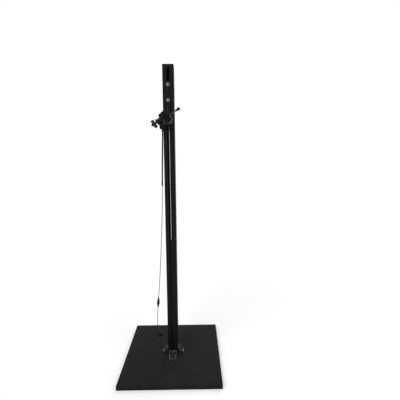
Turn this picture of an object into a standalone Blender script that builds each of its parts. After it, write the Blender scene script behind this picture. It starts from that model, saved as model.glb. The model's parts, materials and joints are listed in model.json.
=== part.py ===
"""Free-standing column lift for bicycles.

A slotted column on a weighted base plate guides a roller carriage that a gas spring lifts. The
carriage's arm ends in a turning clamp head with a screw-driven jaw. Sizes are in metres, +Z is up, the
clamp's mouth faces -Y, and the origin is on the floor under the middle of the base plate.
"""
import math

import bmesh
import bpy
from mathutils import Vector

PART_NAME = "column_bike_lift"

# Clearances
FIT = 0.0003            # between pieces that touch or run in each other
EMBED = 0.001           # how far shapes that are joined reach into each other
OVERCUT = 0.002         # how far a cutter reaches past the wall that it cuts
WELD = 0.000001         # how close two points lie that are one

# Base plate: a folded pan over a ballast plate on rubber feet
PLATE_SIDE = 0.700
PLATE_TOP = 0.031
PAN_SHEET = 0.003
PAN_BEND = 0.004
PAN_LIFT = 0.0015
BALLAST_THICK = 0.020
BALLAST_MARGIN = 0.030
FOOT_RADIUS = 0.030
FOOT_INSET = 0.055

# Column: an open-fronted extrusion
LIFT_HEIGHT = 2.120     # floor to the top of the cap
COLUMN_WIDTH = 0.075
COLUMN_DEPTH = 0.075
COLUMN_WALL = 0.005
LIP_THICK = 0.006
SLOT_WIDTH = 0.022
COLUMN_EDGE = 0.002
GROOVE_WIDTH = 0.006
GROOVE_DEPTH = 0.0025
GROOVE_INSET = 0.0085   # from the column's edge to the middle of a groove
CAP_THICK = 0.004
CAP_PLUG_DEPTH = 0.012
CAP_PLUG_WALL = 0.003

# Foot brackets and their bolts. The front one is lower, reaches further and narrows towards its toe.
BRACKET_LEG = 0.042
BRACKET_RISE = 0.042
BRACKET_WIDTH = 0.046
BRACKET_TOE_WIDTH = 0.044
BRACKET_BOLT_REACH = 0.026
BRACKET_BOLT_RISE = 0.026
FRONT_BRACKET_LEG = 0.070
FRONT_BRACKET_RISE = 0.030
FRONT_BRACKET_WIDTH = 0.062
FRONT_BRACKET_TOE_WIDTH = 0.042
FRONT_BRACKET_BOLT_REACH = 0.046
FRONT_BRACKET_BOLT_RISE = 0.0155
BRACKET_THICK = 0.005
BRACKET_CHEEK = 0.004
BOLT_RADIUS = 0.004
BOLT_HEAD_RADIUS = 0.0075
BOLT_HEAD_HEIGHT = 0.0055
BOLT_WASHER_RADIUS = 0.0085
BOLT_WASHER_THICK = 0.0016
NUT_THICK = 0.0062
CLAMP_PLATE_WIDTH = 0.042
CLAMP_PLATE_HEIGHT = 0.020

# Gas spring
CYLINDER_RADIUS = 0.021
CYLINDER_WALL = 0.0035
CYLINDER_LENGTH = 0.830
CYLINDER_FLOOR = 0.015
GLAND_RADIUS = 0.0225
GLAND_HEIGHT = 0.018
GLAND_SPIGOT = 0.010
GLAND_CHAMFER = 0.003
ROD_RADIUS = 0.010
PISTON_THICK = 0.015
RISE_SPARE = 0.042      # free travel of the piston above its place when the carriage is raised
EYE_RADIUS = 0.011
EYE_HEIGHT = 0.018
TONGUE_THICK = 0.010
TONGUE_HALF_WIDTH = 0.011
PIN_RADIUS = 0.005
FORK_BASE_WIDTH = 0.046
FORK_BASE_DEPTH = 0.040
FORK_BASE_THICK = 0.005
FORK_EAR_THICK = 0.005
FORK_EAR_HALF_WIDTH = 0.012
FORK_PIN_HEIGHT = 0.021  # above the base plate
FORK_EAR_RISE = 0.012    # above the pin's axis

# Carriage
HEAD_BELOW_TOP = 0.370  # top of the lift to the clamp head's turning axis, carriage raised
CARRIER_WIDTH = 0.060
CARRIER_HEIGHT = 0.290
CARRIER_THICK = 0.010
CARRIER_BELOW = 0.030   # how far the carriage plate reaches below the turning axis
CARRIER_GAP = 0.001     # running gap in front of the column
CARRIER_CORNER = 0.008
CARRIER_BOLT_LOW = 0.135  # turning axis to the lower bolt
CARRIER_BOLT_PITCH = 0.100
CARRIER_BOLT_RADIUS = 0.006
CARRIER_BOLT_GRIP = 0.013
CARRIER_HEAD_RADIUS = 0.0100
CARRIER_HEAD_HEIGHT = 0.0075
CARRIER_WASHER_RADIUS = 0.012
CARRIER_WASHER_THICK = 0.0025
BLOCK_BELOW = 0.025
BLOCK_ABOVE = 0.255
BLOCK_SIDE_PLAY = 0.001
BLOCK_BACK_PLAY = 0.0045
BLOCK_CHAMFER = 0.008
ROLLER_RADIUS = 0.0145
ROLLER_WIDTH = 0.012
ROLLER_SIDE_GAP = 0.0013
ROLLER_EDGE = 0.001
AXLE_RADIUS = 0.005
AXLE_CLIP_RADIUS = 0.008
AXLE_CLIP_THICK = 0.0014
LOWER_AXLE_RISE = 0.025
UPPER_AXLE_RISE = 0.215
EYE_PIN_DROP = 0.012    # the rod's pin below the turning axis
FORK_SLOT_ROOF = 0.006  # block slot above the tongue's pin, from the turning axis

# Latch for the raised position
LUG_REACH = 0.0187
LUG_WIDTH = 0.016
LUG_HEIGHT = 0.0155
LUG_SLOPE_FROM = 0.55   # share of its reach where the lug's top starts to slope
LUG_NOSE = 0.45         # share of its height that is left at the lug's nose
LATCH_RADIUS = 0.0055
LATCH_CHAMFER = 0.001
LATCH_DROP = 0.0325     # latch bolt's axis below the turning axis
LATCH_COLLAR_RADIUS = 0.008
LATCH_COLLAR_THICK = 0.0035
LATCH_TRAVEL = 0.010
LATCH_TIP_INSET = 0.004  # tip behind the column's outer face when drawn back
LATCH_WALL = 0.004
LATCH_BOX_WIDTH = 0.028
LATCH_BOX_REACH = 0.0282
LATCH_BOX_BELOW = 0.047
LATCH_BOX_ABOVE = 0.013
LATCH_BOX_CORNER = 0.005
SPRING_WIRE_RADIUS = 0.0007
SPRING_COIL_RADIUS = 0.0064
SPRING_TURNS = 4
SPRING_POINTS_PER_TURN = 10

# Arm: a square tube, a gusset and a bearing housing, welded into one piece
ARM_SIDE = 0.050
ARM_WALL = 0.004
ARM_CORNER = 0.005
ARM_LENGTH = 0.101
GUSSET_THICK = 0.008
GUSSET_HEIGHT = 0.085
GUSSET_TOP = 0.012
GUSSET_TOE = 0.004
HOUSING_RADIUS = 0.035
HOUSING_LENGTH = 0.050
HOUSING_EDGE = 0.002
SHAFT_RADIUS = 0.015
SHAFT_NUT_RADIUS = 0.0205
SHAFT_NUT_THICK = 0.012
SHAFT_TAIL = 0.006
SHAFT_SEAT = 0.006      # depth of the shaft's seat in the clamp head
BUSH_WALL = 0.0034
BUSH_LENGTH = 0.020
BUSH_FLANGE_RADIUS = 0.024
BUSH_FLANGE_THICK = 0.002

# Lock collar and its ball-ended lever
COLLAR_RADIUS = 0.028
COLLAR_WIDTH = 0.019
COLLAR_EDGE = 0.0015
LEVER_ANGLE = math.radians(33.5)
LEVER_REACH = 0.0925    # turning axis to the middle of the ball
LEVER_RADIUS = 0.004
BALL_RADIUS = 0.0105
BALL_SOCKET_DEPTH = 0.006

# Clamp head, in its own frame: X closes the jaws, Z runs along the clamped tube
HEAD_TILT = math.radians(35.0)
HEAD_RADIUS = 0.039
HEAD_PLATE = 0.014
TAIL_REACH = 0.064
TAIL_HALF_WIDTH = 0.020
JAW_RADIUS = 0.035
JAW_DEPTH = 0.066
JAW_FACE = 0.0213       # half the gap between the bare jaws
PAD_THICK = 0.005
PAD_LIP = 0.004
PAD_HALF_LENGTH = 0.024
PAD_MARGIN = 0.005
PAD_GROOVE_STEPS = 9
KEY_HALF_WIDTH = 0.008
KEY_DEPTH = 0.005
KEYWAY_FRONT = 0.012
JAW_OPENING = 0.018
BRIDGE_THICK = 0.010
BRIDGE_HALF_WIDTH = 0.017
SCREW_RADIUS = 0.007
SCREW_SOCKET_DEPTH = 0.0087
SCREW_KNOB_RADIUS = 0.005
KNOB_RADIUS = 0.027
KNOB_LOBE_DEPTH = 0.0055
KNOB_LOBES = 6
KNOB_POINTS_PER_LOBE = 8
KNOB_THICK = 0.019
KNOB_GAP = 0.007        # between the bridge and the knob, used up as the jaw closes
KNOB_EDGE = 0.002
KNOB_NUT_RADIUS = 0.0085
KNOB_NUT_HEIGHT = 0.010
NUT_DOME_STEPS = 4

# Cord: a sleeved pull cord from the latch to an anchor on the base plate
GLAND_TUBE_RADIUS = 0.0075
GLAND_TUBE_HEIGHT = 0.0147
GLAND_TUBE_STEP = 0.0012
GLAND_TUBE_SHOULDER = 0.4   # share of the gland's height down to its shoulder
GLAND_TUBE_CONE = 0.5       # share of its height down to its cone
GLAND_TUBE_MOUTH = 0.0006   # wall round the sleeve at its mouth
SLEEVE_RADIUS = 0.005
SLEEVE_LENGTH = 0.355
FERRULE_LENGTH = 0.028
FERRULE_RADIUS = 0.0062
FERRULE_NECK = 0.85     # share of the ferrule's radius at its neck
FERRULE_COLLAR = 0.45   # share of its length that is full round
FERRULE_NECK_AT = 0.60  # share of its length down to its neck
CORD_RADIUS = 0.0024
CORD_WALL = 0.0007      # wall round the cord where a fitting ends on it
HANDLE_START = 1.266    # along the cord from the gland
HANDLE_LENGTH = 0.098
HANDLE_RADIUS = 0.011
HANDLE_END_WALL = 0.001 # wall round the cord at the handle's ends
HANDLE_SLIMNESS = 1.5   # 1 is a full belly, more draws the ends in
HANDLE_STEPS = 10
ANCHOR_RADIUS = 0.0215
ANCHOR_HEIGHT = 0.0122
ANCHOR_NECK_WALL = 0.0024
# The anchor's outline: shares of its height, with shares of its radius
ANCHOR_NECK = 0.8
ANCHOR_SHOULDER = (0.8, 0.42)
ANCHOR_RIM = 0.2
SLEEVE_STEP = 0.025
CORD_STEP = 0.0225
CORD_ROUTE = (
    (-0.0470, 0.000, 1.6877),
    (-0.0480, 0.001, 1.640),
    (-0.0515, 0.004, 1.540),
    (-0.0555, 0.007, 1.430),
    (-0.0585, 0.010, 1.320),
    (-0.0610, 0.013, 1.220),
    (-0.0650, 0.018, 1.115),
    (-0.0715, 0.025, 0.990),
    (-0.0790, 0.034, 0.870),
    (-0.0865, 0.044, 0.765),
    (-0.0945, 0.055, 0.660),
    (-0.1030, 0.068, 0.560),
    (-0.1115, 0.080, 0.470),
    (-0.1185, 0.090, 0.400),
    (-0.1255, 0.101, 0.335),
    (-0.1325, 0.114, 0.275),
    (-0.1375, 0.130, 0.218),
    (-0.1395, 0.151, 0.165),
    (-0.1375, 0.176, 0.123),
    (-0.1310, 0.196, 0.096),
    (-0.1270, 0.204, 0.070),
    (-0.1270, 0.204, 0.0438),
)
CORD_SAMPLES = 24       # per stretch of the route, when its length is measured

# Facets
ROUND = 32
FINE_ROUND = 32
BOLT_ROUND = 16
SMALL_ROUND = 12
BALL_ROUND = 20
BALL_RINGS = 10
JAW_STEPS = 16
HEAD_STEPS = 36
BRIDGE_STEPS = 12
EAR_STEPS = 8
CORNER_STEPS = 4
EDGE_STEPS = 3
SPRING_WIRE_ROUND = 1   # bevel resolution of the spring's wire
SLEEVE_ROUND = 3        # and of the sleeve
CORD_ROUND = 2          # and of the cord
SMOOTH_ANGLE = math.radians(35)

# Derived heights
PAN_UNDERSIDE = PLATE_TOP - PAN_SHEET
BALLAST_TOP = PAN_UNDERSIDE - FIT
BALLAST_BOTTOM = BALLAST_TOP - BALLAST_THICK
FOOT_HEIGHT = BALLAST_BOTTOM - FIT
STANDING = PLATE_TOP + FIT
COLUMN_END = LIFT_HEIGHT - CAP_THICK - FIT
ARM_HEIGHT = LIFT_HEIGHT - HEAD_BELOW_TOP

# Derived faces of the column's channel
FACE_X = COLUMN_WIDTH / 2
FACE_Y = COLUMN_DEPTH / 2
CHANNEL_SIDE = FACE_X - COLUMN_WALL
CHANNEL_FRONT = -FACE_Y + LIP_THICK
CHANNEL_BACK = FACE_Y - COLUMN_WALL

# Derived places along the arm, from the column towards the viewer
CARRIER_BACK = -FACE_Y - CARRIER_GAP
CARRIER_FRONT = CARRIER_BACK - CARRIER_THICK
ARM_BACK = CARRIER_FRONT - FIT
ARM_END = ARM_BACK - ARM_LENGTH
HOUSING_FRONT = ARM_END - HOUSING_LENGTH
FLANGE_FRONT = HOUSING_FRONT - FIT - BUSH_FLANGE_THICK
COLLAR_BACK = FLANGE_FRONT - FIT
COLLAR_FRONT = COLLAR_BACK - COLLAR_WIDTH
HEAD_BACK = COLLAR_FRONT - FIT
BUSH_BORE = SHAFT_RADIUS + FIT
BUSH_RADIUS = BUSH_BORE + BUSH_WALL
HOUSING_BORE = BUSH_RADIUS + FIT

# Derived places in the clamp head's frame, whose origin is on the head plate's back
SCREW_Y = -HEAD_PLATE - JAW_DEPTH / 2
JAW_TIP = -HEAD_PLATE - JAW_DEPTH
BRIDGE_FRONT = -JAW_RADIUS - JAW_OPENING - EMBED
BRIDGE_BACK = BRIDGE_FRONT - BRIDGE_THICK
KNOB_FRONT = BRIDGE_BACK - KNOB_GAP
KNOB_BACK = KNOB_FRONT - KNOB_THICK
SCREW_TIP = -JAW_RADIUS + SCREW_SOCKET_DEPTH

# Derived heights of the gas spring
FORK_PIN_Z = PLATE_TOP + FORK_PIN_HEIGHT
CYLINDER_BOTTOM = FORK_PIN_Z + FORK_EAR_RISE + 2 * FIT
CYLINDER_TOP = CYLINDER_BOTTOM + CYLINDER_LENGTH
PISTON_TOP = CYLINDER_TOP - GLAND_SPIGOT - RISE_SPARE
BLOCK_BOTTOM = ARM_HEIGHT - BLOCK_BELOW
BLOCK_HALF = SLOT_WIDTH / 2 - BLOCK_SIDE_PLAY
EYE_TOP = BLOCK_BOTTOM - EYE_HEIGHT + EMBED
ROD_TOP = EYE_TOP - EYE_HEIGHT - FIT
LATCH_Z = ARM_HEIGHT - LATCH_DROP

# Turns that lay a piece's own Z axis along another axis
ALONG_X = (0.0, math.pi / 2, 0.0)
ALONG_Y = (math.pi / 2, 0.0, 0.0)
UPRIGHT_XZ = (math.pi / 2, 0.0, 0.0)
UPRIGHT_YZ = (math.pi / 2, 0.0, math.pi / 2)

MATERIALS = {
    "base_paint": ((0.012, 0.012, 0.013), 0.72, 0.0),
    "anodised_black": ((0.008, 0.008, 0.009), 0.52, 0.0),
    "frame_paint": ((0.009, 0.009, 0.010), 0.50, 0.0),
    "black_plastic": ((0.009, 0.009, 0.010), 0.48, 0.0),
    "cylinder_paint": ((0.008, 0.008, 0.009), 0.30, 0.0),
    "zinc": ((0.26, 0.26, 0.27), 0.35, 1.0),
    "cast_alloy": ((0.14, 0.14, 0.15), 0.48, 1.0),
    "chrome": ((0.55, 0.55, 0.57), 0.08, 1.0),
    "steel": ((0.07, 0.07, 0.07), 0.40, 1.0),
    "bronze": ((0.42, 0.26, 0.10), 0.40, 1.0),
    "nylon": ((0.70, 0.69, 0.64), 0.45, 0.0),
    "rubber": ((0.014, 0.014, 0.014), 0.85, 0.0),
    "cord": ((0.012, 0.012, 0.013), 0.80, 0.0),
}


def clear_scene():
    for old in list(bpy.data.objects):
        bpy.data.objects.remove(old, do_unlink=True)


def new_collection(name):
    collection = bpy.data.collections.new(name)
    bpy.context.scene.collection.children.link(collection)
    return collection


clear_scene()
PARTS = new_collection(PART_NAME)
CUTTERS = new_collection(PART_NAME + "_cutters")


def material_for(name, finish):
    """A Principled material of one finish for one piece."""
    colour, roughness, metallic = MATERIALS[finish]
    material = bpy.data.materials.new(name)
    material.use_nodes = True
    shader = material.node_tree.nodes["Principled BSDF"]
    shader.inputs["Base Color"].default_value = (*colour, 1.0)
    shader.inputs["Roughness"].default_value = roughness
    shader.inputs["Metallic"].default_value = metallic
    material.diffuse_color = (*colour, 1.0)
    return material


def add_object(name, data, finish, parent=None):
    """Puts an object in the part's collection, or among the cutters where it has no finish."""
    piece = bpy.data.objects.new(name, data)
    if finish is None:
        CUTTERS.objects.link(piece)
        piece.hide_render = True
        piece.display_type = "WIRE"
    else:
        PARTS.objects.link(piece)
        if not data.materials:
            data.materials.append(material_for(name, finish))
    piece.parent = parent
    return piece


def place(piece, location=(0.0, 0.0, 0.0), rotation=(0.0, 0.0, 0.0)):
    piece.location = location
    piece.rotation_euler = rotation
    return piece


def axis_empty(name, location, rotation=(0.0, 0.0, 0.0)):
    """An empty on a joint's axis, which the moving pieces hang on."""
    empty = bpy.data.objects.new(name, None)
    empty.empty_display_size = 0.05
    PARTS.objects.link(empty)
    return place(empty, location, rotation)


def mesh_from(name, shape):
    """A mesh of a finished bmesh, shaded smooth except over its sharp edges."""
    bmesh.ops.recalc_face_normals(shape, faces=shape.faces)
    mesh = bpy.data.meshes.new(name)
    shape.to_mesh(mesh)
    shape.free()
    mesh.shade_smooth()
    mesh.set_sharp_from_angle(angle=SMOOTH_ANGLE)
    return mesh


def box(name, low, high, finish=None, parent=None):
    """A block from its lowest to its highest corner."""
    low, high = Vector(low), Vector(high)
    shape = bmesh.new()
    bmesh.ops.create_cube(shape, size=1.0)
    bmesh.ops.scale(shape, vec=high - low, verts=shape.verts)
    return place(add_object(name, mesh_from(name, shape), finish, parent), (low + high) / 2)


def rod(name, radius, length, finish=None, parent=None, sides=ROUND):
    """A cylinder, or a hexagon of 6 sides, centred on its own Z axis."""
    shape = bmesh.new()
    bmesh.ops.create_cone(shape, cap_ends=True, segments=sides, radius1=radius, radius2=radius,
                          depth=length)
    return add_object(name, mesh_from(name, shape), finish, parent)


def turned(name, profile, finish=None, parent=None, sides=ROUND):
    """A shape turned about its own Z axis. The profile of (radius, height) points runs down the outer
    side, and it closes on itself unless both its ends are on the axis."""
    mesh = bpy.data.meshes.new(name)
    closed = profile[0][0] > 0 or profile[-1][0] > 0
    count = len(profile)
    edges = [(n, n + 1) for n in range(count - 1)]
    if closed:
        edges.append((count - 1, 0))
    mesh.from_pydata([(radius, 0.0, height) for radius, height in profile], edges, [])
    piece = add_object(name, mesh, finish, parent)
    screw = piece.modifiers.new("turn", "SCREW")
    screw.axis = "Z"
    screw.angle = 2 * math.pi
    screw.steps = sides
    screw.render_steps = sides
    screw.use_merge_vertices = True
    screw.merge_threshold = 0.0001
    screw.use_smooth_shade = True
    return piece


def flat(name, outline, thickness, finish=None, parent=None):
    """A flat outline in the piece's own XY plane, made solid evenly above and below it."""
    curve = bpy.data.curves.new(name + "_outline", "CURVE")
    curve.dimensions = "2D"
    curve.fill_mode = "BOTH"
    curve.extrude = thickness / 2
    spline = curve.splines.new("POLY")
    spline.points.add(len(outline) - 1)
    for point, (x, y) in zip(spline.points, outline):
        point.co = (x, y, 0.0, 1.0)
    spline.use_cyclic_u = True
    drawn = bpy.data.objects.new(name + "_outline", curve)
    CUTTERS.objects.link(drawn)
    bpy.context.view_layer.update()
    filled = bpy.data.meshes.new_from_object(drawn.evaluated_get(bpy.context.evaluated_depsgraph_get()))
    bpy.data.objects.remove(drawn, do_unlink=True)
    shape = bmesh.new()
    shape.from_mesh(filled)
    bmesh.ops.remove_doubles(shape, verts=shape.verts, dist=WELD)
    return add_object(name, mesh_from(name, shape), finish, parent)


def bevel(piece, width, segments=2, angle=math.radians(40)):
    edge = piece.modifiers.new("edges", "BEVEL")
    edge.width = width
    edge.segments = segments
    edge.limit_method = "ANGLE"
    edge.angle_limit = angle
    return piece


def combine(piece, tool, operation):
    """Cuts a tool away from a piece, or joins it on."""
    change = piece.modifiers.new(tool.name, "BOOLEAN")
    change.operation = operation
    change.object = tool
    change.solver = "EXACT"
    return piece


def cut(piece, tool):
    return combine(piece, tool, "DIFFERENCE")


def join(piece, tool):
    return combine(piece, tool, "UNION")


def arc(centre, radius, start, end, steps):
    """Points on an arc, in degrees, both ends included."""
    turn = [math.radians(start + (end - start) * n / steps) for n in range(steps + 1)]
    return [(centre[0] + radius * math.cos(a), centre[1] + radius * math.sin(a)) for a in turn]


def rounded(half_x, half_y, radius, centre=(0.0, 0.0), steps=CORNER_STEPS):
    """A rectangle with round corners."""
    x, y = half_x - radius, half_y - radius
    corners = ((x, y, 0), (-x, y, 90), (-x, -y, 180), (x, -y, 270))
    return [point for cx, cy, start in corners
            for point in arc((centre[0] + cx, centre[1] + cy), radius, start, start + 90, steps)]


def column_outline():
    """The column's section: the outer faces with their grooves, then the channel behind the slot."""
    slot = SLOT_WIDTH / 2
    near = FACE_X - GROOVE_INSET - GROOVE_WIDTH / 2
    far = near + GROOVE_WIDTH
    side_near = FACE_Y - GROOVE_INSET - GROOVE_WIDTH / 2
    side_far = side_near + GROOVE_WIDTH
    deep_x = FACE_X - GROOVE_DEPTH
    deep_y = FACE_Y - GROOVE_DEPTH
    outer = [(slot, CHANNEL_FRONT), (slot, -FACE_Y)]
    outer += [(near, -FACE_Y), (near, -deep_y), (far, -deep_y), (far, -FACE_Y)]
    outer += arc((FACE_X - COLUMN_EDGE, -FACE_Y + COLUMN_EDGE), COLUMN_EDGE, -90, 0, EDGE_STEPS)
    outer += [(FACE_X, -side_far), (deep_x, -side_far), (deep_x, -side_near), (FACE_X, -side_near)]
    outer += [(FACE_X, side_near), (deep_x, side_near), (deep_x, side_far), (FACE_X, side_far)]
    outer += arc((FACE_X - COLUMN_EDGE, FACE_Y - COLUMN_EDGE), COLUMN_EDGE, 0, 90, EDGE_STEPS)
    outer += [(far, FACE_Y), (far, deep_y), (near, deep_y), (near, FACE_Y)]
    inner = [(CHANNEL_SIDE, CHANNEL_FRONT), (CHANNEL_SIDE, CHANNEL_BACK)]
    mirrored = [(-x, y) for x, y in reversed(outer)]
    inner_left = [(-x, y) for x, y in inner]
    return outer + mirrored + inner_left + list(reversed(inner))


def base():
    """Pan, ballast and feet."""
    half = PLATE_SIDE / 2
    shape = bmesh.new()
    bmesh.ops.create_cube(shape, size=1.0)
    bmesh.ops.scale(shape, vec=(PLATE_SIDE, PLATE_SIDE, PLATE_TOP - PAN_LIFT), verts=shape.verts)
    underside = min(shape.faces, key=lambda face: face.calc_center_median().z)
    bmesh.ops.delete(shape, geom=[underside], context="FACES_ONLY")
    mesh = bpy.data.meshes.new("base_pan")
    shape.to_mesh(mesh)
    shape.free()
    pan = place(add_object("base_pan", mesh, "base_paint"), (0.0, 0.0, (PLATE_TOP + PAN_LIFT) / 2))
    bevel(pan, PAN_BEND, segments=3)
    sheet = pan.modifiers.new("sheet", "SOLIDIFY")
    sheet.thickness = PAN_SHEET
    sheet.offset = -1.0
    sheet.use_even_offset = True

    side = half - PAN_SHEET - BALLAST_MARGIN
    ballast = box("ballast_plate", (-side, -side, BALLAST_BOTTOM), (side, side, BALLAST_TOP), "steel")
    spot = side - FOOT_INSET
    for depth, y in (("front", -spot), ("back", spot)):
        for hand, x in (("left", -spot), ("right", spot)):
            foot = rod(f"rubber_foot_{depth}_{hand}", FOOT_RADIUS, FOOT_HEIGHT, "rubber", sides=ROUND)
            place(foot, (x, y, FOOT_HEIGHT / 2))
    return pan, ballast


def column():
    """The extrusion and its cap."""
    length = COLUMN_END - STANDING
    extrusion = flat("column_extrusion", column_outline(), length, "anodised_black")
    place(extrusion, (0.0, 0.0, (STANDING + COLUMN_END) / 2))

    cap = flat("column_cap", rounded(FACE_X, FACE_Y, COLUMN_EDGE), CAP_THICK, "black_plastic")
    place(cap, (0.0, 0.0, LIFT_HEIGHT - CAP_THICK / 2))
    plug_x = CHANNEL_SIDE - FIT
    plug_y = (CHANNEL_BACK - CHANNEL_FRONT) / 2 - FIT
    centre = (0.0, (CHANNEL_BACK + CHANNEL_FRONT) / 2)
    depth = CAP_PLUG_DEPTH + EMBED
    plug = flat("cap_plug", rounded(plug_x, plug_y, CAP_PLUG_WALL, centre), depth)
    join(cap, place(plug, (0.0, 0.0, LIFT_HEIGHT - CAP_THICK + EMBED - depth / 2)))
    hollow_x, hollow_y = plug_x - CAP_PLUG_WALL, plug_y - CAP_PLUG_WALL
    hollow = flat("cap_hollow", rounded(hollow_x, hollow_y, EMBED, centre), 2 * CAP_PLUG_DEPTH)
    cut(cap, place(hollow, (0.0, 0.0, LIFT_HEIGHT - CAP_THICK - CAP_PLUG_DEPTH)))
    return extrusion


def bracket_sizes(side):
    """A bracket's leg, rise, widths at the column and at the toe, and its bolts' reach and rise."""
    if side == "front":
        return (FRONT_BRACKET_LEG, FRONT_BRACKET_RISE, FRONT_BRACKET_WIDTH, FRONT_BRACKET_TOE_WIDTH,
                FRONT_BRACKET_BOLT_REACH, FRONT_BRACKET_BOLT_RISE)
    return (BRACKET_LEG, BRACKET_RISE, BRACKET_WIDTH, BRACKET_TOE_WIDTH, BRACKET_BOLT_REACH,
            BRACKET_BOLT_RISE)


def foot_bracket(name, turn, reach, sizes):
    """An angle bracket with two cheeks, narrower at its toe than at the column. It stands on the base
    plate against the column's face that is the given reach away, on the side the turn points to."""
    leg, rise, width, toe_width, bolt_reach, bolt_rise = sizes
    wall = BRACKET_THICK
    start = reach + FIT
    frame = axis_empty(name + "_frame", (0.0, 0.0, STANDING), (0.0, 0.0, turn))
    outline = [(0.0, 0.0), (leg, 0.0), (leg, wall), (wall, rise), (0.0, rise)]
    bracket = flat(name, outline, width + 2 * OVERCUT, "cast_alloy", frame)
    place(bracket, (start, 0.0, 0.0), UPRIGHT_XZ)

    half, toe_half = width / 2, toe_width / 2
    narrowing = (half - toe_half) / leg
    past = leg + OVERCUT
    past_half = half - narrowing * past
    plan = [(-OVERCUT, -half - narrowing * OVERCUT), (past, -past_half), (past, past_half),
            (-OVERCUT, half + narrowing * OVERCUT)]
    taper = place(flat(name + "_taper", plan, 4 * rise, parent=frame), (start, 0.0, 0.0))
    combine(bracket, taper, "INTERSECT")
    near_half = half - narrowing * wall - BRACKET_CHEEK
    far_half = past_half - BRACKET_CHEEK
    hollow = [(wall, -near_half), (past, -far_half), (past, far_half), (wall, near_half)]
    pocket = flat(name + "_pocket", hollow, 2 * rise, parent=frame)
    cut(bracket, place(pocket, (start, 0.0, wall + rise)))

    hole = BOLT_RADIUS + FIT
    along = 2 * (wall + OVERCUT)
    floor_hole = rod(name + "_floor_hole", hole, along, parent=frame, sides=SMALL_ROUND)
    cut(bracket, place(floor_hole, (start + bolt_reach, 0.0, 0.0)))
    wall_hole = rod(name + "_wall_hole", hole, along, parent=frame, sides=SMALL_ROUND)
    cut(bracket, place(wall_hole, (start, 0.0, bolt_rise), ALONG_X))
    return frame


def hex_bolt(name, grip, parent, nut=0.0, sizes=None):
    """A hexagon bolt along its own Z axis: the washer stands on z = 0, the shank reaches down by the
    grip, and a nut of the given thickness may close its end."""
    shank, washer, washer_thick, head, head_height = sizes or (
        BOLT_RADIUS, BOLT_WASHER_RADIUS, BOLT_WASHER_THICK, BOLT_HEAD_RADIUS, BOLT_HEAD_HEIGHT)
    middle = washer_thick / 2
    profile = [(0.0, washer_thick), (washer, washer_thick), (washer, 0.0), (shank, 0.0),
               (shank, -grip), (0.0, -grip)]
    bolt = turned(name, profile, "zinc", parent, sides=BOLT_ROUND)
    top = washer_thick + head_height
    hexagon = rod(name + "_hexagon", head, top - middle, parent=bolt, sides=6)
    join(bolt, place(hexagon, (0.0, 0.0, (top + middle) / 2)))
    if nut:
        under = rod(name + "_nut", head, nut, parent=bolt, sides=6)
        join(bolt, place(under, (0.0, 0.0, -grip + EMBED + nut / 2)))
    return bolt


def foot(pan, ballast, extrusion):
    """The four brackets at the column's foot, their bolts, and the holes for these."""
    sides = (("right", 0.0, FACE_X), ("back", math.pi / 2, FACE_Y),
             ("left", math.pi, FACE_X), ("front", -math.pi / 2, FACE_Y))
    hole = BOLT_RADIUS + FIT
    for side, turn, reach in sides:
        sizes = bracket_sizes(side)
        bolt_reach, bolt_rise = sizes[-2:]
        frame = foot_bracket("foot_bracket_" + side, turn, reach, sizes)
        across = reach + FIT + bolt_reach
        floor_grip = BRACKET_THICK + 2 * FIT + PAN_SHEET + FIT + BALLAST_THICK - EMBED
        floor_bolt = hex_bolt("floor_bolt_" + side, floor_grip, frame)
        place(floor_bolt, (across, 0.0, BRACKET_THICK + FIT))
        through = rod(f"plate_hole_{side}", hole, 2 * PLATE_TOP, parent=frame, sides=SMALL_ROUND)
        place(through, (across, 0.0, 0.0))
        cut(pan, through)
        cut(ballast, through)

        seat = reach + 2 * FIT + BRACKET_THICK
        wall = LIP_THICK if side == "front" else COLUMN_WALL
        grip = BRACKET_THICK + 2 * FIT + wall + FIT + NUT_THICK + EMBED
        bolt = hex_bolt("column_bolt_" + side, grip, frame, nut=0.0 if side == "front" else NUT_THICK)
        place(bolt, (seat, 0.0, bolt_rise), ALONG_X)
        if side == "front":
            inner = seat - grip + EMBED
            plate = box("clamp_plate", (inner, -CLAMP_PLATE_WIDTH / 2, -CLAMP_PLATE_HEIGHT / 2),
                        (inner + NUT_THICK, CLAMP_PLATE_WIDTH / 2, CLAMP_PLATE_HEIGHT / 2), parent=frame)
            plate.location.z = bolt_rise
            join(bolt, plate)
        else:
            opening = rod(f"wall_hole_{side}", hole, 4 * COLUMN_WALL, parent=frame, sides=SMALL_ROUND)
            cut(extrusion, place(opening, (reach, 0.0, bolt_rise), ALONG_X))


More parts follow.
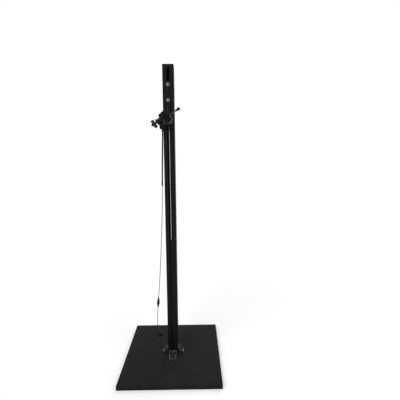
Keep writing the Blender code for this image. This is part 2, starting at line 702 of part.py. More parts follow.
def gas_spring(carriage):
    """Cylinder on its foot fork, and the rod with its piston and eye."""
    half_x, half_y = FORK_BASE_WIDTH / 2, FORK_BASE_DEPTH / 2
    fork_top = STANDING + FORK_BASE_THICK
    fork = box("spring_foot_fork", (-half_x, -half_y, STANDING), (half_x, half_y, fork_top), "steel")
    inner = TONGUE_THICK / 2 + FIT
    outer = inner + FORK_EAR_THICK
    ear_half = FORK_EAR_HALF_WIDTH
    ear_outline = [(-ear_half, fork_top - EMBED), (ear_half, fork_top - EMBED)]
    ear_outline += arc((0.0, FORK_PIN_Z), ear_half, 0, 180, EAR_STEPS)
    for hand, middle in (("left", -(inner + outer) / 2), ("right", (inner + outer) / 2)):
        ear = flat(f"fork_ear_{hand}", ear_outline, FORK_EAR_THICK)
        join(fork, place(ear, (middle, 0.0, 0.0), UPRIGHT_YZ))
    pin = rod("fork_pin", PIN_RADIUS, 2 * (outer + FORK_EAR_THICK / 2), sides=SMALL_ROUND)
    join(fork, place(pin, (0.0, 0.0, FORK_PIN_Z), ALONG_X))

    bore = CYLINDER_RADIUS - CYLINDER_WALL
    floor = CYLINDER_BOTTOM + CYLINDER_FLOOR
    profile = [(0.0, floor), (bore, floor), (bore, CYLINDER_TOP), (CYLINDER_RADIUS, CYLINDER_TOP),
               (CYLINDER_RADIUS, CYLINDER_BOTTOM), (0.0, CYLINDER_BOTTOM)]
    cylinder = turned("gas_spring_cylinder", profile, "cylinder_paint")
    tongue_outline = arc((0.0, FORK_PIN_Z), TONGUE_HALF_WIDTH, 180, 360, EAR_STEPS)
    tongue_outline += [(TONGUE_HALF_WIDTH, CYLINDER_BOTTOM + EMBED)]
    tongue_outline += [(-TONGUE_HALF_WIDTH, CYLINDER_BOTTOM + EMBED)]
    tongue = place(flat("cylinder_tongue", tongue_outline, TONGUE_THICK), rotation=UPRIGHT_YZ)
    join(cylinder, tongue)
    eye_hole = rod("cylinder_eye_hole", PIN_RADIUS + FIT, 2 * TONGUE_THICK, sides=SMALL_ROUND)
    cut(cylinder, place(eye_hole, (0.0, 0.0, FORK_PIN_Z), ALONG_X))

    seat = CYLINDER_TOP + FIT
    rod_hole = ROD_RADIUS + FIT
    top = seat + GLAND_HEIGHT
    gland = [(rod_hole, top), (GLAND_RADIUS - GLAND_CHAMFER, top), (GLAND_RADIUS, top - GLAND_CHAMFER),
             (GLAND_RADIUS, seat), (bore - FIT, seat), (bore - FIT, CYLINDER_TOP - GLAND_SPIGOT),
             (rod_hole, CYLINDER_TOP - GLAND_SPIGOT)]
    turned("gas_spring_gland", gland, "black_plastic")

    piston = [(0.0, ROD_TOP), (ROD_RADIUS, ROD_TOP), (ROD_RADIUS, PISTON_TOP), (bore - FIT, PISTON_TOP),
              (bore - FIT, PISTON_TOP - PISTON_THICK), (0.0, PISTON_TOP - PISTON_THICK)]
    local = [(radius, height - ARM_HEIGHT) for radius, height in piston]
    turned("piston_rod", local, "chrome", carriage)

    eye_bottom = ROD_TOP + FIT - ARM_HEIGHT
    eye = [(0.0, EYE_TOP - ARM_HEIGHT), (EYE_RADIUS, EYE_TOP - ARM_HEIGHT), (EYE_RADIUS, eye_bottom),
           (0.0, eye_bottom)]
    rod_eye = turned("rod_eye", eye, "zinc", carriage, sides=BOLT_ROUND)
    pin_z = -EYE_PIN_DROP
    blade_outline = [(TONGUE_HALF_WIDTH, EYE_TOP - ARM_HEIGHT - EMBED)]
    blade_outline += arc((0.0, pin_z), TONGUE_HALF_WIDTH, 0, 180, EAR_STEPS)
    blade_outline += [(-TONGUE_HALF_WIDTH, EYE_TOP - ARM_HEIGHT - EMBED)]
    blade = flat("rod_eye_blade", blade_outline, TONGUE_THICK, parent=carriage)
    join(rod_eye, place(blade, rotation=UPRIGHT_YZ))
    pin_hole = rod("rod_eye_hole", PIN_RADIUS + FIT, 2 * TONGUE_THICK, parent=carriage, sides=SMALL_ROUND)
    cut(rod_eye, place(pin_hole, (0.0, 0.0, pin_z), ALONG_X))
    pin = rod("rod_eye_pin", PIN_RADIUS, 2 * BLOCK_HALF, "steel", carriage, sides=SMALL_ROUND)
    place(pin, (0.0, 0.0, pin_z), ALONG_X)


def carriage_plate(carriage):
    """The plate in front of the column and its two bolts."""
    half = CARRIER_HEIGHT / 2
    outline = rounded(CARRIER_WIDTH / 2, half, CARRIER_CORNER, (0.0, half - CARRIER_BELOW))
    plate = flat("carriage_plate", outline, CARRIER_THICK, "frame_paint", carriage)
    place(plate, (0.0, (CARRIER_BACK + CARRIER_FRONT) / 2, 0.0), UPRIGHT_XZ)
    sizes = (CARRIER_BOLT_RADIUS, CARRIER_WASHER_RADIUS, CARRIER_WASHER_THICK, CARRIER_HEAD_RADIUS,
             CARRIER_HEAD_HEIGHT)
    grip = FIT + CARRIER_THICK + FIT + CARRIER_BOLT_GRIP
    holes = []
    for name, rise in (("lower", CARRIER_BOLT_LOW), ("upper", CARRIER_BOLT_LOW + CARRIER_BOLT_PITCH)):
        bolt = hex_bolt("carriage_bolt_" + name, grip, carriage, sizes=sizes)
        place(bolt, (0.0, CARRIER_FRONT - FIT, rise), ALONG_Y)
        depth = grip + OVERCUT
        hole = rod(f"carriage_hole_{name}", CARRIER_BOLT_RADIUS + FIT, depth + FIT, parent=carriage,
                   sides=BOLT_ROUND)
        place(hole, (0.0, CARRIER_FRONT - OVERCUT + (depth + FIT) / 2, rise), ALONG_Y)
        cut(plate, hole)
        holes.append(hole)
    return holes


def carriage_block(carriage, holes):
    """The block that reaches through the slot, with its axles, rollers and catch lug."""
    front = CARRIER_BACK + FIT
    back = CHANNEL_BACK - BLOCK_BACK_PLAY
    chamfer = BLOCK_CHAMFER
    low, high = -BLOCK_BELOW, BLOCK_ABOVE
    outline = [(front, low + chamfer), (front + chamfer, low), (back - chamfer, low),
               (back, low + chamfer), (back, high - chamfer), (back - chamfer, high),
               (front + chamfer, high), (front, high - chamfer)]
    block = flat("carriage_block", outline, 2 * BLOCK_HALF, "steel", carriage)
    place(block, rotation=UPRIGHT_YZ)
    for hole in holes:
        cut(block, hole)
    slot_half = TONGUE_THICK / 2 + FIT
    roof = FORK_SLOT_ROOF
    slot = box("block_fork_slot", (-slot_half, -COLUMN_DEPTH, low - OVERCUT),
               (slot_half, COLUMN_DEPTH, roof), parent=carriage)
    cut(block, slot)
    pin_hole = rod("block_pin_hole", PIN_RADIUS + FIT, 4 * BLOCK_HALF, parent=carriage, sides=SMALL_ROUND)
    cut(block, place(pin_hole, (0.0, 0.0, -EYE_PIN_DROP), ALONG_X))

    inside = BLOCK_HALF + ROLLER_SIDE_GAP
    outside = inside + ROLLER_WIDTH
    axles = (("lower", LOWER_AXLE_RISE, CHANNEL_BACK - FIT - ROLLER_RADIUS),
             ("upper", UPPER_AXLE_RISE, CHANNEL_FRONT + FIT + ROLLER_RADIUS))
    for level, rise, y in axles:
        hole = rod(f"block_axle_hole_{level}", AXLE_RADIUS + FIT, 4 * BLOCK_HALF, parent=carriage,
                   sides=BOLT_ROUND)
        cut(block, place(hole, (0.0, y, rise), ALONG_X))
        clip_in = outside + FIT
        clip_out = clip_in + AXLE_CLIP_THICK
        end = clip_out + AXLE_CLIP_THICK
        profile = [(0.0, end), (AXLE_RADIUS, end), (AXLE_RADIUS, clip_out), (AXLE_CLIP_RADIUS, clip_out),
                   (AXLE_CLIP_RADIUS, clip_in), (AXLE_RADIUS, clip_in)]
        profile += [(radius, -height) for radius, height in reversed(profile)]
        axle = turned("roller_axle_" + level, profile, "steel", carriage, sides=SMALL_ROUND)
        place(axle, (0.0, y, rise), ALONG_X)
        half = ROLLER_WIDTH / 2
        edge = ROLLER_EDGE
        bore = AXLE_RADIUS + FIT
        tread = [(bore, half), (ROLLER_RADIUS - edge, half), (ROLLER_RADIUS, half - edge),
                 (ROLLER_RADIUS, edge - half), (ROLLER_RADIUS - edge, -half), (bore, -half)]
        for hand, side in (("left", -1), ("right", 1)):
            roller = turned(f"roller_{level}_{hand}", tread, "nylon", carriage, sides=BOLT_ROUND)
            place(roller, (side * (inside + half), y, rise), ALONG_X)

    lug_right = -BLOCK_HALF - FIT
    lug_low = low + FIT
    outline = [(lug_right, lug_low), (lug_right, lug_low + LUG_HEIGHT),
               (lug_right - LUG_REACH * LUG_SLOPE_FROM, lug_low + LUG_HEIGHT),
               (lug_right - LUG_REACH, lug_low + LUG_HEIGHT * LUG_NOSE), (lug_right - LUG_REACH, lug_low)]
    lug = flat("catch_lug", outline, LUG_WIDTH, "steel", carriage)
    place(lug, rotation=UPRIGHT_XZ)


def latch(extrusion):
    """Latch housing on the column's left face, its bolt and spring, and the cord's gland."""
    face = -FACE_X - FIT
    end = face - LATCH_BOX_REACH
    middle_z = ARM_HEIGHT + (LATCH_BOX_ABOVE - LATCH_BOX_BELOW) / 2
    half_z = (LATCH_BOX_ABOVE + LATCH_BOX_BELOW) / 2
    outline = rounded(LATCH_BOX_WIDTH / 2, half_z, LATCH_BOX_CORNER, (0.0, middle_z))
    housing = flat("latch_housing", outline, LATCH_BOX_REACH, "frame_paint")
    place(housing, ((face + end) / 2, 0.0, 0.0), UPRIGHT_YZ)
    pocket = LATCH_BOX_REACH - LATCH_WALL + OVERCUT
    bore = rod("latch_bore", LATCH_COLLAR_RADIUS + FIT, pocket, sides=BOLT_ROUND)
    cut(housing, place(bore, (face + OVERCUT - pocket / 2, 0.0, LATCH_Z), ALONG_X))
    passage = rod("latch_passage", LATCH_RADIUS + FIT, 4 * COLUMN_WALL, sides=BOLT_ROUND)
    cut(extrusion, place(passage, (-FACE_X, 0.0, LATCH_Z), ALONG_X))

    tip = LATCH_TIP_INSET
    collar_front = -LATCH_TRAVEL - 2 * FIT - EMBED
    collar_back = collar_front - LATCH_COLLAR_THICK
    profile = [(0.0, tip), (LATCH_RADIUS - LATCH_CHAMFER, tip), (LATCH_RADIUS, tip - LATCH_CHAMFER),
               (LATCH_RADIUS, collar_front), (LATCH_COLLAR_RADIUS, collar_front),
               (LATCH_COLLAR_RADIUS, collar_back), (0.0, collar_back)]
    slide = axis_empty("latch_axis", (-FACE_X, 0.0, LATCH_Z))
    place(turned("latch_bolt", profile, "steel", slide, sides=BOLT_ROUND), rotation=ALONG_X)

    start = -FACE_X + collar_back - FIT - SPRING_WIRE_RADIUS
    stop = end + LATCH_WALL + FIT + SPRING_WIRE_RADIUS
    turns = SPRING_TURNS * SPRING_POINTS_PER_TURN
    coil = []
    for n in range(turns + 1):
        angle = 2 * math.pi * n / SPRING_POINTS_PER_TURN
        coil.append((start + (stop - start) * n / turns, SPRING_COIL_RADIUS * math.cos(angle),
                     LATCH_Z + SPRING_COIL_RADIUS * math.sin(angle)))
    tube("latch_spring", coil, SPRING_WIRE_RADIUS, SPRING_WIRE_ROUND, "steel")

    x, y, _ = CORD_ROUTE[0]
    top = middle_z - half_z - FIT
    bottom = top - GLAND_TUBE_HEIGHT
    rim = GLAND_TUBE_RADIUS
    gland = [(0.0, top), (rim, top), (rim, top - GLAND_TUBE_HEIGHT * GLAND_TUBE_SHOULDER),
             (rim - GLAND_TUBE_STEP, top - GLAND_TUBE_HEIGHT * GLAND_TUBE_CONE),
             (SLEEVE_RADIUS + GLAND_TUBE_MOUTH, bottom), (0.0, bottom)]
    place(turned("cord_gland", gland, "black_plastic", sides=SMALL_ROUND), (x, y, 0.0))


def arm(carriage):
    """The welded arm, its two bushes and the swivel shaft."""
    half = ARM_SIDE / 2
    inner = half - ARM_WALL
    reach = ARM_LENGTH + EMBED
    weldment = flat("arm", rounded(half, half, ARM_CORNER), reach, "frame_paint", carriage)
    place(weldment, (0.0, ARM_BACK - reach / 2, 0.0), ALONG_Y)
    bore = flat("arm_bore", rounded(inner, inner, ARM_CORNER - ARM_WALL), 2 * reach, parent=carriage)
    cut(weldment, place(bore, (0.0, ARM_BACK - reach / 2, 0.0), ALONG_Y))
    length = HOUSING_LENGTH
    edge = HOUSING_EDGE
    ring = [(HOUSING_BORE, length), (HOUSING_RADIUS - edge, length), (HOUSING_RADIUS, length - edge),
            (HOUSING_RADIUS, edge), (HOUSING_RADIUS - edge, 0.0), (HOUSING_BORE, 0.0)]
    housing = turned("arm_housing", ring, parent=carriage, sides=FINE_ROUND)
    join(weldment, place(housing, (0.0, ARM_END, 0.0), ALONG_Y))
    toe = ARM_END + HOUSING_EDGE + GUSSET_TOE
    web = [(ARM_BACK, half - EMBED), (ARM_BACK, half + GUSSET_HEIGHT),
           (ARM_BACK - GUSSET_TOP, half + GUSSET_HEIGHT), (toe, half + GUSSET_TOE), (toe, half - EMBED)]
    gusset = flat("arm_gusset", web, GUSSET_THICK, parent=carriage)
    join(weldment, place(gusset, rotation=UPRIGHT_YZ))

    plain = [(BUSH_BORE, BUSH_LENGTH), (BUSH_RADIUS, BUSH_LENGTH), (BUSH_RADIUS, 0.0), (BUSH_BORE, 0.0)]
    back_bush = turned("swivel_bush_back", plain, "bronze", carriage, sides=FINE_ROUND)
    place(back_bush, (0.0, ARM_END, 0.0), ALONG_Y)
    flange = -BUSH_FLANGE_THICK
    flanged = [(BUSH_BORE, BUSH_LENGTH), (BUSH_RADIUS, BUSH_LENGTH), (BUSH_RADIUS, 0.0),
               (BUSH_FLANGE_RADIUS, 0.0), (BUSH_FLANGE_RADIUS, flange), (BUSH_BORE, flange)]
    front_bush = turned("swivel_bush_front", flanged, "bronze", carriage, sides=FINE_ROUND)
    place(front_bush, (0.0, HOUSING_FRONT - FIT, 0.0), (-math.pi / 2, 0.0, 0.0))


def lock_collar():
    """The collar that pinches the head against the arm, turned by a ball-ended lever."""
    axis = axis_empty("lock_axis", (0.0, (COLLAR_BACK + COLLAR_FRONT) / 2, ARM_HEIGHT))
    half = COLLAR_WIDTH / 2
    edge = COLLAR_EDGE
    ring = [(BUSH_BORE, half), (COLLAR_RADIUS - edge, half), (COLLAR_RADIUS, half - edge),
            (COLLAR_RADIUS, edge - half), (COLLAR_RADIUS - edge, -half), (BUSH_BORE, -half)]
    collar = place(turned("lock_collar", ring, "steel", axis, sides=FINE_ROUND), rotation=ALONG_Y)
    root = COLLAR_RADIUS - 2 * COLLAR_EDGE
    tip = LEVER_REACH - BALL_RADIUS + BALL_SOCKET_DEPTH
    direction = Vector((math.cos(LEVER_ANGLE), 0.0, math.sin(LEVER_ANGLE)))
    lean = (0.0, math.pi / 2 - LEVER_ANGLE, 0.0)
    stem = rod("lever_stem", LEVER_RADIUS, tip - root, parent=axis, sides=SMALL_ROUND)
    join(collar, place(stem, direction * (root + tip) / 2, lean))

    shape = bmesh.new()
    bmesh.ops.create_uvsphere(shape, u_segments=BALL_ROUND, v_segments=BALL_RINGS,
                              radius=BALL_RADIUS)
    ball = add_object("lever_ball", mesh_from("lever_ball", shape), "black_plastic", axis)
    place(ball, direction * LEVER_REACH, lean)
    depth = BALL_SOCKET_DEPTH + FIT
    socket = rod("ball_socket", LEVER_RADIUS + FIT, depth + OVERCUT, parent=axis, sides=SMALL_ROUND)
    cut(ball, place(socket, direction * (tip + FIT - (depth + OVERCUT) / 2), lean))


def jaw_outline(side):
    """A segment of a disc between the jaw's face and its round back, on one side of the tube."""
    reach = math.degrees(math.acos(JAW_FACE / JAW_RADIUS))
    start = -reach if side > 0 else 180 - reach
    return arc((0.0, 0.0), JAW_RADIUS, start, start + 2 * reach, JAW_STEPS)


def pad_outline(side):
    """A jaw pad's section across the tube: a flat back and a hollow face."""
    back = JAW_FACE - FIT
    middle = back - PAD_THICK
    half = JAW_DEPTH / 2 - PAD_MARGIN
    face = []
    for n in range(PAD_GROOVE_STEPS + 1):
        share = 2 * n / PAD_GROOVE_STEPS - 1
        face.append((middle - PAD_LIP * share * share, SCREW_Y + half * share))
    outline = face + [(back, SCREW_Y + half), (back, SCREW_Y - half)]
    return [(side * x, y) for x, y in outline]


def clamp_head():
    """Head body with the fixed jaw and the screw's bridge, its pads, the moving jaw and the screw."""
    axis = axis_empty("head_axis", (0.0, HEAD_BACK, ARM_HEIGHT), (0.0, -HEAD_TILT, 0.0))
    shoulder = math.degrees(math.asin(TAIL_HALF_WIDTH / HEAD_RADIUS))
    outline = arc((0.0, 0.0), HEAD_RADIUS, shoulder - 180, 180 - shoulder, HEAD_STEPS)
    corner = TAIL_HALF_WIDTH / 3
    outline += arc((corner - TAIL_REACH, TAIL_HALF_WIDTH - corner), corner, 90, 180, CORNER_STEPS)
    outline += arc((corner - TAIL_REACH, corner - TAIL_HALF_WIDTH), corner, 180, 270, CORNER_STEPS)
    body = flat("clamp_head", outline, HEAD_PLATE, "frame_paint", axis)
    place(body, (0.0, -HEAD_PLATE / 2, 0.0), UPRIGHT_XZ)
    depth = JAW_DEPTH + EMBED
    fixed = flat("fixed_jaw", jaw_outline(1), depth, parent=axis)
    join(body, place(fixed, (0.0, JAW_TIP + depth / 2, 0.0), UPRIGHT_XZ))
    rise = BRIDGE_HALF_WIDTH
    bridge_outline = [(-HEAD_PLATE + EMBED, rise)] + arc((SCREW_Y, 0.0), rise, 90, 270, BRIDGE_STEPS)
    bridge_outline += [(-HEAD_PLATE + EMBED, -rise)]
    bridge = flat("screw_bridge", bridge_outline, BRIDGE_THICK, parent=axis)
    join(body, place(bridge, ((BRIDGE_FRONT + BRIDGE_BACK) / 2, 0.0, 0.0), UPRIGHT_YZ))
    hole = rod("bridge_hole", SCREW_RADIUS + FIT, 2 * BRIDGE_THICK, parent=axis, sides=BOLT_ROUND)
    cut(body, place(hole, ((BRIDGE_FRONT + BRIDGE_BACK) / 2, SCREW_Y, 0.0), ALONG_X))
    keyway_half = KEY_HALF_WIDTH + FIT
    keyway_floor = -HEAD_PLATE + KEY_DEPTH + FIT
    keyway = box("keyway", (BRIDGE_FRONT + EMBED / 2, -HEAD_PLATE - OVERCUT, -keyway_half),
                 (-KEYWAY_FRONT, keyway_floor, keyway_half), parent=axis)
    cut(body, keyway)
    seat = rod("shaft_seat", SHAFT_RADIUS + FIT, SHAFT_SEAT + OVERCUT, parent=axis, sides=FINE_ROUND)
    cut(body, place(seat, (0.0, OVERCUT - (SHAFT_SEAT + OVERCUT) / 2, 0.0), ALONG_Y))

    nut_back = ARM_END + EMBED + SHAFT_NUT_THICK
    tail = nut_back + SHAFT_TAIL - HEAD_BACK
    seated = FIT - SHAFT_SEAT
    chamfer = BUSH_WALL / 2
    profile = [(0.0, -seated), (SHAFT_RADIUS, -seated), (SHAFT_RADIUS, chamfer - tail),
               (SHAFT_RADIUS - chamfer, -tail), (0.0, -tail)]
    shaft = place(turned("swivel_shaft", profile, "steel", axis, sides=FINE_ROUND), rotation=ALONG_Y)
    nut = rod("swivel_nut", SHAFT_NUT_RADIUS, SHAFT_NUT_THICK, parent=axis, sides=6)
    join(shaft, place(nut, (0.0, nut_back - SHAFT_NUT_THICK / 2 - HEAD_BACK, 0.0), ALONG_Y))

    for name, side in (("fixed_jaw_pad", 1), ("moving_jaw_pad", -1)):
        flat(name, pad_outline(side), 2 * PAD_HALF_LENGTH, "rubber", axis)

    moving_depth = JAW_DEPTH - FIT
    jaw = flat("moving_jaw", jaw_outline(-1), moving_depth, "frame_paint", axis)
    place(jaw, (0.0, JAW_TIP + moving_depth / 2, 0.0), UPRIGHT_XZ)
    key = box("jaw_key", (-JAW_RADIUS + EMBED, -HEAD_PLATE - FIT - EMBED, -KEY_HALF_WIDTH),
              (-JAW_FACE - EMBED / 2, -HEAD_PLATE + KEY_DEPTH, KEY_HALF_WIDTH), parent=axis)
    join(jaw, key)
    socket_depth = SCREW_SOCKET_DEPTH + FIT + OVERCUT
    socket = rod("screw_socket", SCREW_RADIUS + FIT, socket_depth, parent=axis, sides=BOLT_ROUND)
    cut(jaw, place(socket, (SCREW_TIP + FIT - socket_depth / 2, SCREW_Y, 0.0), ALONG_X))
    clamp_screw(axis)


def clamp_screw(axis):
    """The screw that drives the moving jaw, with its lobed knob and end nut."""
    shoulder = KNOB_FRONT + FIT
    nut_in = KNOB_BACK - FIT
    nut_out = nut_in - KNOB_NUT_HEIGHT
    dome = [(KNOB_NUT_RADIUS * math.cos(a), nut_in - KNOB_NUT_HEIGHT * math.sin(a))
            for a in (math.pi / 2 * n / NUT_DOME_STEPS for n in range(1, NUT_DOME_STEPS))]
    profile = [(0.0, SCREW_TIP), (SCREW_RADIUS, SCREW_TIP), (SCREW_RADIUS, shoulder),
               (SCREW_KNOB_RADIUS, shoulder), (SCREW_KNOB_RADIUS, nut_in), (KNOB_NUT_RADIUS, nut_in)]
    profile += dome + [(0.0, nut_out)]
    turn = axis_empty("screw_axis", (0.0, SCREW_Y, 0.0))
    turn.parent = axis
    place(turned("clamp_screw", profile, "zinc", turn, sides=BOLT_ROUND), rotation=ALONG_X)

    points = KNOB_LOBES * KNOB_POINTS_PER_LOBE
    outline = []
    for n in range(points):
        angle = 2 * math.pi * n / points
        radius = KNOB_RADIUS - KNOB_LOBE_DEPTH * (1 - math.cos(KNOB_LOBES * angle)) / 2
        outline.append((radius * math.cos(angle), radius * math.sin(angle)))
    knob = flat("clamp_knob", outline, KNOB_THICK, "black_plastic", turn)
    place(knob, ((KNOB_FRONT + KNOB_BACK) / 2, 0.0, 0.0), ALONG_X)
    bevel(knob, KNOB_EDGE, segments=1, angle=math.radians(60))
    bore = rod("knob_bore", SCREW_KNOB_RADIUS + FIT, 2 * KNOB_THICK, parent=turn, sides=SMALL_ROUND)
    cut(knob, place(bore, knob.location, ALONG_X))


def smooth_route():
    """Points close together on a curve through the cord's route, with their distance along it."""
    ends = [2 * Vector(CORD_ROUTE[0]) - Vector(CORD_ROUTE[1])]
    ends += [Vector(point) for point in CORD_ROUTE]
    ends += [2 * Vector(CORD_ROUTE[-1]) - Vector(CORD_ROUTE[-2])]
    points = [ends[1]]
    for before, start, end, after in zip(ends, ends[1:], ends[2:], ends[3:]):
        for n in range(1, CORD_SAMPLES + 1):
            t = n / CORD_SAMPLES
            points.append(0.5 * (2 * start + (end - before) * t
                                 + (2 * before - 5 * start + 4 * end - after) * t * t
                                 + (3 * start - before - 3 * end + after) * t * t * t))
    lengths = [0.0]
    for a, b in zip(points, points[1:]):
        lengths.append(lengths[-1] + (b - a).length)
    return points, lengths


def along_route(route, distance):
    """The point at a distance along the route."""
    points, lengths = route
    for a, b, start, end in zip(points, points[1:], lengths, lengths[1:]):
        if distance <= end:
            return a.lerp(b, (distance - start) / (end - start))
    return points[-1]


def tube(name, points, radius, resolution, finish):
    """A round wire along points."""
    curve = bpy.data.curves.new(name, "CURVE")
    curve.dimensions = "3D"
    curve.bevel_depth = radius
    curve.bevel_resolution = resolution
    curve.use_fill_caps = True
    spline = curve.splines.new("POLY")
    spline.points.add(len(points) - 1)
    for point, place_at in zip(spline.points, points):
        point.co = (*place_at, 1.0)
    return add_object(name, curve, finish)


def stretch(name, route, start, end, radius, step, resolution, finish):
    """The cord between two distances along its route."""
    count = max(2, round((end - start) / step))
    points = [along_route(route, start + (end - start) * n / count) for n in range(count + 1)]
    return tube(name, points, radius, resolution, finish)


def on_cord(piece, route, start, end):
    """Threads a turned piece on the cord: its own Z axis runs from the second distance to the first."""
    top, bottom = along_route(route, start), along_route(route, end)
    piece.location = (top + bottom) / 2
    piece.rotation_euler = (top - bottom).to_track_quat("Z", "Y").to_euler()
    return piece


def cord():
    """The sleeve, ferrule, pull handle and anchor, and the cord's stretches between them."""
    route = smooth_route()
    total = route[1][-1]
    ferrule_start = SLEEVE_LENGTH + FIT
    ferrule_end = ferrule_start + FERRULE_LENGTH
    handle_end = HANDLE_START + HANDLE_LENGTH
    stretch("cord_sleeve", route, 0.0, SLEEVE_LENGTH, SLEEVE_RADIUS, SLEEVE_STEP, SLEEVE_ROUND,
            "cord")
    for name, start, end in (("pull_cord", ferrule_end + FIT, HANDLE_START - FIT),
                             ("pull_cord_tail", handle_end + FIT, total)):
        stretch(name, route, start, end, CORD_RADIUS, CORD_STEP, CORD_ROUND, "cord")

    half = FERRULE_LENGTH / 2
    collar_end = half - FERRULE_LENGTH * FERRULE_COLLAR
    ferrule = [(0.0, half), (FERRULE_RADIUS, half), (FERRULE_RADIUS, collar_end),
               (FERRULE_RADIUS * FERRULE_NECK, half - FERRULE_LENGTH * FERRULE_NECK_AT),
               (CORD_RADIUS + CORD_WALL, -half), (0.0, -half)]
    on_cord(turned("sleeve_ferrule", ferrule, "black_plastic", sides=SMALL_ROUND), route,
            ferrule_start, ferrule_end)

    half = HANDLE_LENGTH / 2
    end_radius = CORD_RADIUS + HANDLE_END_WALL
    shape = [(0.0, half)]
    for n in range(HANDLE_STEPS + 1):
        height = half * math.cos(math.pi * n / HANDLE_STEPS)
        swell = math.cos(height / half * math.pi / 2) ** HANDLE_SLIMNESS
        shape.append((end_radius + (HANDLE_RADIUS - end_radius) * swell, height))
    shape.append((0.0, -half))
    on_cord(turned("pull_handle", shape, "black_plastic", sides=BOLT_ROUND), route,
            HANDLE_START, handle_end)

    x, y, _ = CORD_ROUTE[-1]
    top = ANCHOR_HEIGHT
    neck = CORD_RADIUS + ANCHOR_NECK_WALL
    shoulder_radius, shoulder_height = ANCHOR_SHOULDER
    anchor = [(0.0, top), (neck, top), (neck + ANCHOR_NECK_WALL, top * ANCHOR_NECK),
              (ANCHOR_RADIUS * shoulder_radius, top * shoulder_height), (ANCHOR_RADIUS, top * ANCHOR_RIM),
              (ANCHOR_RADIUS, 0.0), (0.0, 0.0)]
    place(turned("cord_anchor", anchor, "rubber"), (x, y, STANDING))


def main():
    pan, ballast = base()
    extrusion = column()
    foot(pan, ballast, extrusion)
    latch(extrusion)
    carriage = axis_empty("carriage_axis", (0.0, 0.0, ARM_HEIGHT))
    gas_spring(carriage)
    carriage_block(carriage, carriage_plate(carriage))
    arm(carriage)
    lock_collar()
    clamp_head()
    cord()


main()
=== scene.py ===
"""Looks of the column bike lift: the finish of every surface, and finer meshes for its small pieces.

Everything is in metres in the part's own frame: +Z up, the clamp's mouth towards -Y.
"""

import json
import math

import bmesh
import bpy
from mathutils import Matrix, Vector

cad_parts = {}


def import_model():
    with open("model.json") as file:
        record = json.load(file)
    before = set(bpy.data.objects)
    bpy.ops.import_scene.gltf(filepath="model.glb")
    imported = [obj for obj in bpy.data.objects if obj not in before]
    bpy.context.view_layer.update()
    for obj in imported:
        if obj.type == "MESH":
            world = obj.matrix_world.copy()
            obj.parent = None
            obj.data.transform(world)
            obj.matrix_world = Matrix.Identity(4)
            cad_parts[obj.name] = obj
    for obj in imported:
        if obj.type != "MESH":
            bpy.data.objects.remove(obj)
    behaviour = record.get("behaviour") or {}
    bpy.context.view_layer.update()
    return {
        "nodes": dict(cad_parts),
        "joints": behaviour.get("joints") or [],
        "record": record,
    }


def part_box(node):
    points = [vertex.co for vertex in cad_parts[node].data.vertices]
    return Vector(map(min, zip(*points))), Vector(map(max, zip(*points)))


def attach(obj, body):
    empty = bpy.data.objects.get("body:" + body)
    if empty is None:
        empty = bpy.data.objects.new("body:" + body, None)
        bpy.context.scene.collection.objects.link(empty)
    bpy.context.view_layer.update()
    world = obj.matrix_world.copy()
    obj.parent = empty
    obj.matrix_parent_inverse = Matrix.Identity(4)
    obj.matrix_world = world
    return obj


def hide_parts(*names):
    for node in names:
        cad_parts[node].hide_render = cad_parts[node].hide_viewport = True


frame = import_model()
JOINTS = {joint["name"]: joint for joint in frame["joints"]}

# The photograph's view
IMAGE_SIDE = 400
FOCAL_PIXELS = 284.8
SENSOR_WIDTH = 36.0
CAMERA_AT = Vector((0.1806, -2.0274, 1.4836))
PITCH_DOWN = math.radians(7.83)
YAW_RIGHT = math.radians(0.84)
ROLL = math.radians(-0.27)
NEAR_CLIP = 0.05
FAR_CLIP = 100.0

# Light and floor
WORLD_LIGHT = 0.55      # strength of the surround on the object, where 1 is white
SUN_SPREAD = math.radians(35)
SUNS = (
    ("key", (-0.55, -0.75, 0.95), 1.05),
    ("fill", (0.80, -0.60, 0.70), 0.45),
    ("rim", (0.35, 0.85, 0.80), 0.45),
)
FLOOR_RADIUS = 30.0
FLOOR_SIDES = 64
FLOOR_GRAIN = 40.0
FLOOR_DARK = 0.80
FLOOR_LIGHT = 0.83
FLOOR_GLOW = 0.235
FLOOR_GAP = 0.0003      # below the feet

# Cord, at the sizes and along the route of the part
CORD_ROUTE = (
    (-0.0470, 0.000, 1.6877), (-0.0480, 0.001, 1.640), (-0.0515, 0.004, 1.540),
    (-0.0555, 0.007, 1.430), (-0.0585, 0.010, 1.320), (-0.0610, 0.013, 1.220),
    (-0.0650, 0.018, 1.115), (-0.0715, 0.025, 0.990), (-0.0790, 0.034, 0.870),
    (-0.0865, 0.044, 0.765), (-0.0945, 0.055, 0.660), (-0.1030, 0.068, 0.560),
    (-0.1115, 0.080, 0.470), (-0.1185, 0.090, 0.400), (-0.1255, 0.101, 0.335),
    (-0.1325, 0.114, 0.275), (-0.1375, 0.130, 0.218), (-0.1395, 0.151, 0.165),
    (-0.1375, 0.176, 0.123), (-0.1310, 0.196, 0.096), (-0.1270, 0.204, 0.070),
    (-0.1270, 0.204, 0.0438),
)
ROUTE_SAMPLES = 60      # points on the curve between two of the route's
SLEEVE_LENGTH = 0.355
SLEEVE_RADIUS = 0.005
SLEEVE_RING = 0.004
FERRULE_START = 0.3553
FERRULE_END = 0.3833
FERRULE_GRIP = 0.002    # how far the pull cord reaches into the ferrule
FERRULE_RADIUS = 0.0062
CRIMP_RADIUS = 0.0056
HANDLE_START = 1.266
HANDLE_END = 1.364
HANDLE_RINGS = 64
HANDLE_RADIUS = 0.011
HANDLE_NECK = 0.0034
HANDLE_GROOVE = 0.0004
HANDLE_GROOVE_PITCH = 0.006
HANDLE_GROOVED = 0.024  # half the length of the grooved stretch
CORD_RADIUS = 0.0024
CORD_STARTS = 4         # strands of the braid each way
CORD_LAY = 0.014
CORD_RELIEF = 0.05
CORD_RING = 0.0008

